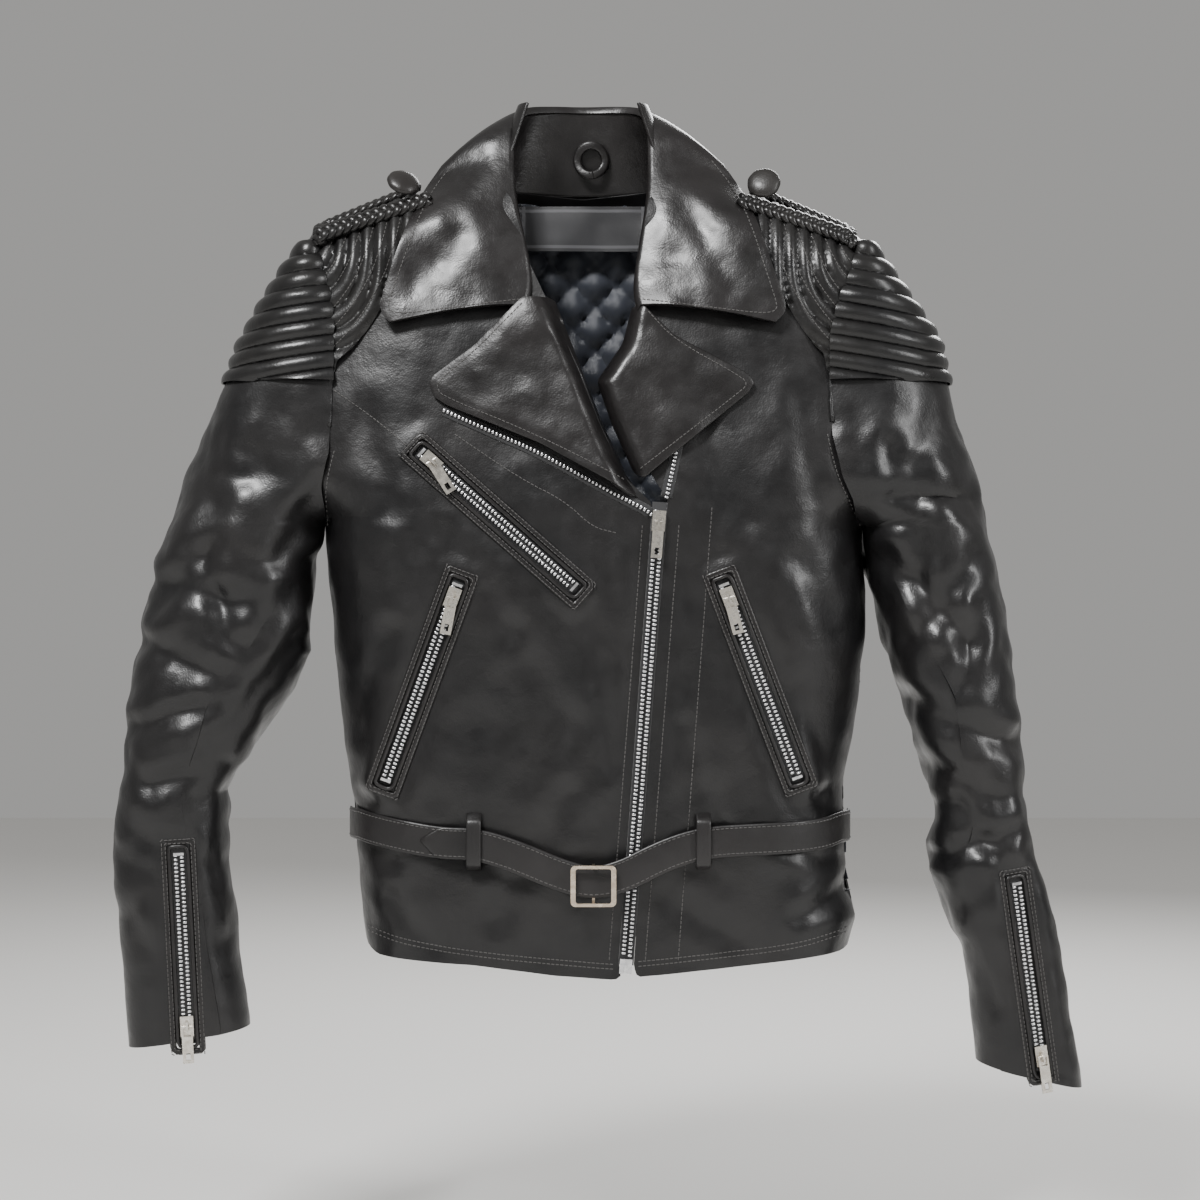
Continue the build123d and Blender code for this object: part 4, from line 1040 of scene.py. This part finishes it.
front_tree = tree_of([panels["front_panel_right"], panels["front_panel_left"]])
OPEN_RIGHT = [(-110, -190), (-72, -207), (-40, -221), (0, -243), (24, -256), (38, -263), (43, -268)]
OPEN_LEFT = [(63, -195), (59, -222), (54, -244), (50, -262), (49, -268)]
open_parts, tape_parts = [], []
for line, away in ((OPEN_RIGHT, -1), (OPEN_LEFT, 1)):
    path = resample(rounded(line, 2), PITCH)
    points, normals = drop(front_tree, path, lift=1.4)
    tangent = np.gradient(points, axis=0)
    tangent /= np.linalg.norm(tangent, axis=1)[:, None]
    across = np.cross(normals, tangent)
    open_parts.append(copies(TOOTH_POINTS, TOOTH_FACES, points, tangent, across, normals))
    tape_parts.append(sweep(points - normals * 1.1, normals, 4.2, 0.5, False, 8, 4.0))
points, faces = together(open_parts)
add_piece("main_chain_open", points, faces, zip_metal, stands_for=["main_zip_open_rows"])
for zip_name in zips:
    half = LENGTHS[zip_name] / 2 + 5
    path = zip_point(zip_name, np.linspace(-half, half, 30), 0.0, -1.7)
    tape_parts.append(sweep(path, zips[zip_name][3], 5.6, 0.35, False, 8, 4.0))
points, faces = together(tape_parts)
tapes = add_piece("zip_tapes_woven", points, faces, tape_cloth, stands_for=["zip_tapes"])
face_out(tapes)

# %% [markdown]
# The belt is a strap sewn in at the sides. It runs level through two loops and then hangs to
# the buckle. A second line gives how far in front of the jacket it stands.

# %% Belt
BELT_MIDDLE = [(-182, -494), (-140, -500), (-112, -505), (-88, -505), (-60, -513), (-25, -528), (-1, -534),
               (22, -528), (45, -516), (66, -508), (84, -504), (120, -502), (165, -500), (187, -496)]
BELT_AWAY = [(-225, 2.4), (-190, 3.2), (-120, 4.5), (-88, 5.4), (-20, 9.6), (0, 9.9),
             (20, 9.6), (80, 5.4), (120, 4.5), (190, 3.2), (225, 1.4)]
HALF_BELT = 11.6


def belt_line(start, end, extra=0.0, step=5.0):
    """A line round the front, from one walk to another."""
    walks = np.arange(start, end, step * np.sign(end - start))
    drawn = rounded(BELT_MIDDLE, 3)
    zs = np.interp(walks, drawn[:, 0], drawn[:, 1])
    depth, round_, flat = body_sizes(walks, zs)
    angle = np.clip((np.abs(walks) - flat) / round_, 0, math.pi / 2) * np.sign(walks)
    xs, depth = body_point(walks, zs)
    path = np.stack([xs, -depth, zs], 1)
    away = np.interp(walks, *np.array(BELT_AWAY).T) + extra + wander(path, 30.0, 1.2, 61)
    return path + np.stack([np.sin(angle), -np.cos(angle), 0 * zs], 1) * away[:, None]


def strap(name, path, half_wide, half_high, material, nodes_for, body="jacket", power=5.0, up=None):
    if up is None:
        tangent = np.gradient(path, axis=0)
        up = np.cross(tangent, np.array([0, 0, -1.0]))
        up /= np.linalg.norm(up, axis=1)[:, None]
        up *= np.where(np.sum(up * (path * (1, 1, 0)), axis=1) < 0, -1, 1)[:, None]
    points, faces = sweep(path, up, half_wide, half_high, False, 16, power)
    piece = add_piece(name, points, faces, material, body, nodes_for)
    face_out(piece)
    return piece


long_path = belt_line(224, -128, 1.6)
tip = np.r_[np.full(len(long_path) - 3, HALF_BELT), HALF_BELT * 0.8, HALF_BELT * 0.42, 0.6]
under_path = belt_line(-211, -6, 0.0)
strap("belt_long", long_path, tip, 1.15, belt_leather, ["belt_strap_long"])
strap("belt_short", under_path, HALF_BELT, 1.15, belt_leather, ["belt_strap_short"])
loop_parts = []
for x in (-88, 79):
    z, y = -504.0, -float(body_depth(x, -504))
    profile = [(0.5, 20), (-2, 19.5), (-9.6, 16.5), (-11, 12),
               (-11.4, 0), (-11, -12), (-9.6, -16.5), (-2, -19.5),
               (0.5, -20)]
    path = np.array([(x, y + dy, z + dz) for dy, dz in rounded(profile, 2)])
    loop_normals = np.gradient(path, axis=0)[:, [0, 2, 1]] * (0, -1, 1)
    loop_parts.append(sweep(path, loop_normals, 5.4, 0.9, False, 12, 4.0))
points, faces = together(loop_parts)
loops = add_piece("belt_loop_pair", points, faces, belt_leather, stands_for=["belt_loops"])
face_out(loops)

# %% [markdown]
# The epaulettes are plaited from three strands. Each strand swings across the braid once a turn
# and rises over and dips under twice a turn, a third of a turn after its neighbour.

# %% Braided epaulettes
def top_of(x, y):
    """The height of the shoulder at a place, seen from above."""
    depth = CHEST_DEPTH - (float(ridge_z(x)) - ARMPIT) * LEAN
    share = min(abs(y) / depth, 0.95) ** (1 / 0.45)
    return float(ridge_z(x)) - RIDGE * (1 - (1 - share) ** (1 / 2.4))


def braid(path, normals, half_wide=6.6, turn_length=19.0):
    length = np.r_[0, np.cumsum(np.linalg.norm(np.diff(path, axis=0), axis=1))]
    tangent = np.gradient(path, axis=0)
    tangent /= np.linalg.norm(tangent, axis=1)[:, None]
    across = np.cross(tangent, normals)
    strands = []
    for k in range(3):
        phase = 2 * math.pi * (length / turn_length + k / 3)
        line = (path + across * (half_wide * 0.62 * np.sin(phase))[:, None]
                + normals * (1.7 * np.sin(2 * phase))[:, None])
        strands.append(sweep(line, normals, 3.5, 2.4, False, 8))
    return strands


for side_name, side in side_names():
    inner_x, outer_x = (NECK_X + side * 124, -204) if side < 0 else (118, 189)
    parts = []
    for y, spare_lift in ((-33.0, 9.0), (-3.0, 6.6)):
        shift = -side * 10 if y < -5 else 0
        xs = np.linspace(inner_x + shift, outer_x, 120)
        drawn = [(x, y, top_of(x, y) + spare_lift) for x in xs]
        parts += braid(np.array(drawn), np.broadcast_to((0, -0.8 if y < -5 else -0.25, 0.75), (120, 3)))
    end = [(outer_x, y, top_of(outer_x, y) + 5.4) for y in np.linspace(-35, 2, 40)]
    parts += braid(np.array(end), np.broadcast_to((side * 0.4, 0, 0.9), (40, 3)))
    points, faces = together(parts)
    body = "epaulette_" + side_name
    plait = add_piece("plait_" + side_name, points, faces, braid_leather, body, [body])
    face_out(plait)
    plait.data.shade_smooth()
    print(plait.name, len(plait.data.polygons), "faces")

# %% [markdown]
# A covered button is a dome with leather drawn over it. Its profile is turned into
# rings round the button's middle, and the rim rolls under as the leather does.

# %% Covered buttons
for side_name, side in side_names():
    low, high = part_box("epaulette_button_" + side_name)
    centre = (np.array(low) + np.array(high)) / 2 / MM
    tilt = np.array([-side * 0.12, -0.92, 0.42] if side > 0 else [0.3, -0.7, 0.65])
    centre = centre + np.array([side * 2.0, -17.0, -9.0])
    tilt /= np.linalg.norm(tilt)
    first = np.cross(tilt, (0, 1, 0))
    first /= np.linalg.norm(first)
    second = np.cross(tilt, first)
    profile = rounded([(0.01, 5.6), (4, 5.4), (8, 4.6), (11.2, 3.0), (12.5, 0.8), (11.8, -1.2), (8, -2.0),
                       (0.01, -2.0)], 2)
    turn = np.linspace(0, 2 * math.pi, 56, endpoint=False)
    rings = []
    for r, h in profile:
        pucker = 1 + 0.012 * np.sin(9 * turn + side) * np.clip((r - 8) / 4, 0, 1)
        rings.append(centre + first * (r * pucker * np.cos(turn))[:, None]
                     + second * (r * pucker * np.sin(turn))[:, None] + tilt * h)
    points = np.array(rings).reshape(-1, 3)
    points[:, 2] += 1.5
    faces = grid_faces(len(rings), 56, True) + [tuple(range(56)), tuple(range(len(points) - 56, len(points)))]
    button = add_piece("covered_button_" + side_name, points, faces, button_leather,
                       "epaulette_" + side_name, ["epaulette_button_" + side_name])
    face_out(button)
    bpy.ops.object.shade_smooth_by_angle(angle=math.radians(60))

# %% [markdown]
# The label is a plain woven rectangle with a paler border, and the hang loop is a narrow strap
# bent into a ring at the bottom of the collar stand.

# %% Label and hang loop
low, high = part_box("neck_label")
centre = (np.array(low) + np.array(high)) / 2 / MM
size = (np.array(high) - np.array(low)) / MM
xs = np.linspace(-size[0] / 2, size[0] / 2, 40)
zs = np.linspace(-size[2] / 2, size[2] / 2, 16)
label_points = np.array([(centre[0] + x, centre[1] - 12.5, centre[2] + z) for z in zs for x in xs])
label_points[:, 1] += wander(label_points, 26.0, 2.4, 71)
label = add_piece("blank_label", label_points, grid_faces(16, 40), label_cloth,
                  stands_for=["neck_label"])
label.data.materials.append(label_border)
for polygon in label.data.polygons:
    column, row = polygon.index % 39, polygon.index // 39
    if min(column, 38 - column) == 1 or min(row, 14 - row) == 1:
        polygon.material_index = 1
thicken(label, 0.7, 0.0)
low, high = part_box("hang_loop")
centre = (np.array(low) + np.array(high)) / 2 / MM
turn = np.linspace(-0.55 * math.pi, 1.55 * math.pi, 60)
ring_path = np.stack([centre[0] + 10.6 * np.cos(turn), centre[1] - 0.4 + 1.2 * np.cos(2 * turn),
                      centre[2] + 11.5 * np.sin(turn)], 1)
points, faces = sweep(ring_path, (0, -1, 0), 3.2, 1.2, False, 10, 3.0)
hang = add_piece("hang_loop_strap", points, faces, collar_leather, stands_for=["hang_loop"])
face_out(hang)

# %% [markdown]
# Topstitching is what makes a seam read as sewn. One stitch is modelled as a short capsule, and
# copies of it are laid along each seam, a stitch and a gap at a time. The lines are drawn in
# front view and dropped onto the leather.

# %% Stitches
bpy.ops.object.select_all(action="DESELECT")
bpy.ops.mesh.primitive_cylinder_add(vertices=6, radius=0.45, depth=2.4, rotation=(0, math.pi / 2, 0))
stitch = bpy.context.object
bpy.ops.object.transform_apply(rotation=True)
bpy.ops.object.mode_set(mode="EDIT")
bpy.ops.mesh.select_all(action="SELECT")
bpy.ops.mesh.bevel(offset=0.16, segments=1)
bpy.ops.object.mode_set(mode="OBJECT")
STITCH_POINTS = np.array([v.co for v in stitch.data.vertices])
STITCH_FACES = [tuple(p.vertices) for p in stitch.data.polygons]
bpy.data.objects.remove(stitch)
STITCH_PITCH = 3.3


def stitches_on(points, normals):
    if len(points) < 3:
        return []
    tangent = np.gradient(points, axis=0)
    tangent /= np.maximum(np.linalg.norm(tangent, axis=1), 1e-9)[:, None]
    across = np.cross(normals, tangent)
    jump = np.r_[0, np.linalg.norm(np.diff(points, axis=0), axis=1)] < 3 * STITCH_PITCH
    keep = jump & (np.linalg.norm(across, axis=1) > 0.5)
    return [copies(STITCH_POINTS, STITCH_FACES, points[keep], tangent[keep], across[keep], normals[keep])]


def sewn(tree, line, from_back=False, smooth=2, lift=0.1):
    path = resample(rounded(line, smooth), STITCH_PITCH)
    return stitches_on(*drop(tree, path, from_back, lift))


back_tree = tree_of([panels["back_panel"]])
collar_tree = tree_of([fall])
lapel_trees = {"right": tree_of([lapel_right]), "left": tree_of([lapel_left])}
runs = []
corner_lines = ([(-56, -108), (-100, -114), (-140, -119), (-150, -117), (-151, -112), (-147, -99),
                 (-135, -62),
                 (-120, -18), (-104, 0)],
                [(36, -108), (80, -114), (122, -119), (132, -117), (133, -112), (129, -99), (118, -62),
                 (104, -20), (88, 0)])
for line in corner_lines:
    runs += sewn(collar_tree, line)
runs += sewn(collar_tree, [(-85, -8), (-58, -20), (-9, -26), (40, -20), (68, -8)], True)
runs += sewn(lapel_trees["right"], [(-54, -112), (-88, -147), (-114, -168), (-115, -174), (-110, -180),
                                    (-42, -208), (20, -240)])
runs += sewn(lapel_trees["left"], [(40, -118), (58, -138), (108, -166), (111, -171), (106, -176), (34, -232)])
runs += sewn(front_tree, [(-101, -208), (-54, -240), (-22, -256), (-2, -275), (14, -279)])
hem_front = [(-168, -574), (-120, -584), (-60, -592), (12, -598)]
for up in (0, 3.5):
    runs += sewn(front_tree, [(x, z + up) for x, z in hem_front])
    runs += sewn(front_tree, [(33, -596 + up), (88, -590 + up), (140, -584 + up), (186, -574 + up)])
    runs += sewn(back_tree, [(-168, -578 + up), (-90, -580 + up), (0, -582 + up),
                             (90, -580 + up), (184, -576 + up)], True)
for offset in (-12.5, 14.0, 38.0):
    runs += sewn(front_tree, [(47 + offset, -275 if offset < 20 else -262), (23 + offset, -590)])
runs += sewn(front_tree, [(-193, -173), (-160, -196), (-133, -219)])
for seam, inward in ((SEAM_RIGHT, 4.0), (SEAM_LEFT, -4.0)):
    line = [(x + inward, z) for x, z in seam if z < -172]
    runs += sewn(front_tree, line)
    runs += sewn(back_tree, [(x + inward, z) for x, z in seam if z < -172], True)
quilt_trees = [tree_of([q]) for q in quilts]
for k, (side_name, side) in enumerate(side_names()):
    for share in range(1, CHANNELS):
        tip = (-213, -57) if side < 0 else (199, -58)
        arc = [(tip[0] - side * 80 * share / CHANNELS * math.cos(a),
                tip[1] + 0.41 * 80 * share / CHANNELS * math.cos(a) - 112 * share / CHANNELS * math.sin(a))
               for a in np.linspace(0.05, 1.5, 30)]
        runs += sewn(quilt_trees[k], arc, False, 0)
        runs += sewn(quilt_trees[k], arc, True, 0)
for zip_name in POCKET_ZIPS:
    out = zips[zip_name][3]
    for half_wide, spare_length, up in ((9.3, 9.2, 0.35), (12.0, 12.0, 0.1)):
        half = LENGTHS[zip_name] / 2 + spare_length
        corners = [(-half, -half_wide), (half, -half_wide), (half, half_wide), (-half, half_wide)]
        path = resample(corners, STITCH_PITCH, True)
        points = zip_point(zip_name, path[:, 0], path[:, 1], up)
        runs += stitches_on(points, np.broadcast_to(out, points.shape))
for path, away in ((belt_line(222, -118, 1.6, STITCH_PITCH), 1.2),
                   (belt_line(-209, -122, 0.0, STITCH_PITCH), 1.2)):
    tangent = np.gradient(path, axis=0)
    up = np.cross(tangent, (0, 0, -1.0))
    up /= np.linalg.norm(up, axis=1)[:, None]
    up *= np.where(np.sum(up * (path * (1, 1, 0)), axis=1) < 0, -1, 1)[:, None]
    across = np.cross(tangent / np.linalg.norm(tangent, axis=1)[:, None], up)
    for edge in (-9.2, 9.2):
        runs += stitches_on(path + across * edge + up * away, up)
points, faces = together(runs)
add_piece("topstitching", points, faces, thread)
print("topstitching", len(faces), "faces in", len(points) // len(STITCH_POINTS), "stitches")

# %% [markdown]
# The armhole seams are piped: a narrow roll of leather is sewn between the panels. It's the same
# swept tube, laid on the panels from in front and from behind.

# %% Piped armhole seams
piping = []
for seam in (SEAM_RIGHT, SEAM_LEFT):
    line = resample(rounded(seam[1:-1], 2), 4.0)
    for tree, behind in ((front_tree, False), (back_tree, True)):
        points, normals = drop(tree, line, behind, 0.4)
        if len(points) > 4:
            piping.append(sweep(points, normals, 1.7, 1.5, False, 8))
points, faces = together(piping)
piped = add_piece("armhole_piping", points, faces, body_leather)
face_out(piped)

# %% [markdown]
# Some pieces of the frame already have the right shape: sliders, pulls, buckle, studs, stops and
# the retaining box. They stay, and only get their metals. The pocket bags hang hidden inside.

# %% Finishes for the pieces that stay
def finish_node(name, material):
    mesh = nodes[name].data
    mesh.materials.clear()
    mesh.materials.append(material)


for name in nodes:
    if name.endswith(("_slider", "_pull")):
        finish_node(name, slider_metal)
    elif name.startswith("epaulette_stud"):
        finish_node(name, stud_metal)
finish_node("belt_buckle", buckle_metal)
finish_node("zip_stops", zip_metal)
finish_node("main_zip_box", zip_metal)
finish_node("chest_pocket_bag", pocket_cloth)
finish_node("hip_pocket_bags", pocket_cloth)

# %% [markdown]
# Each sleeve's three pieces are unpacked from the sleeve table; nothing more is done with them.

# %% Unpacking the sleeves
for side_name, side in side_names():
    top, low, quilt = sleeves[side]

# %% [markdown]
# The jacket hangs over a plain pale floor. Black leather is mostly what it reflects, so two large
# soft lamps draw the folds, a low fill opens the shadows, and the pale world does the rest.

# %% Floor, lights and camera
bpy.ops.object.select_all(action="DESELECT")
bpy.ops.mesh.primitive_plane_add(size=9.0, location=(0, 0, -0.86))
floor = bpy.context.object
floor.name = "floor"
bpy.ops.object.mode_set(mode="EDIT")
bpy.ops.mesh.subdivide(number_cuts=3)
bpy.ops.object.mode_set(mode="OBJECT")
pale, tree_nodes, links = new_material("pale_floor")
pale_shader = tree_nodes["Principled BSDF"]
pale_shader.inputs["Base Color"].default_value = (0.78, 0.77, 0.75, 1.0)
pale_shader.inputs["Roughness"].default_value = 0.8
floor.data.materials.append(pale)
world = bpy.data.worlds.new("studio")
bpy.context.scene.world = world
world.use_nodes = True
world.node_tree.nodes["Background"].inputs["Color"].default_value = (0.86, 0.85, 0.83, 1.0)
world.node_tree.nodes["Background"].inputs["Strength"].default_value = 0.42


def lamp(name, place, aim, power, wide, high):
    data = bpy.data.lights.new(name, "AREA")
    data.energy = power
    data.shape = "RECTANGLE"
    data.size = wide
    data.size_y = high
    light = bpy.data.objects.new(name, data)
    bpy.context.collection.objects.link(light)
    light.location = place
    light.rotation_euler = (Vector(aim) - Vector(place)).to_track_quat("-Z", "Y").to_euler()


CAMERA_PLACE = (0.00375, -2.01, -0.328)
CAMERA_LENS = 80
JACKET_MIDDLE = (0, 0, -0.3)
lamp("key", (-0.8, -1.6, 1.5), JACKET_MIDDLE, 85.0, 0.6, 0.45)
lamp("side", (1.8, -1.2, 0.5), JACKET_MIDDLE, 26.0, 0.3, 1.2)
lamp("back", (0.6, 1.9, 0.9), JACKET_MIDDLE, 40.0, 1.2, 0.8)
camera_data = bpy.data.cameras.new("camera")
camera = bpy.data.objects.new("camera", camera_data)
bpy.context.collection.objects.link(camera)
camera.location = CAMERA_PLACE
camera.rotation_euler = (math.radians(90), 0, 0)
camera_data.lens = CAMERA_LENS
bpy.context.scene.camera = camera
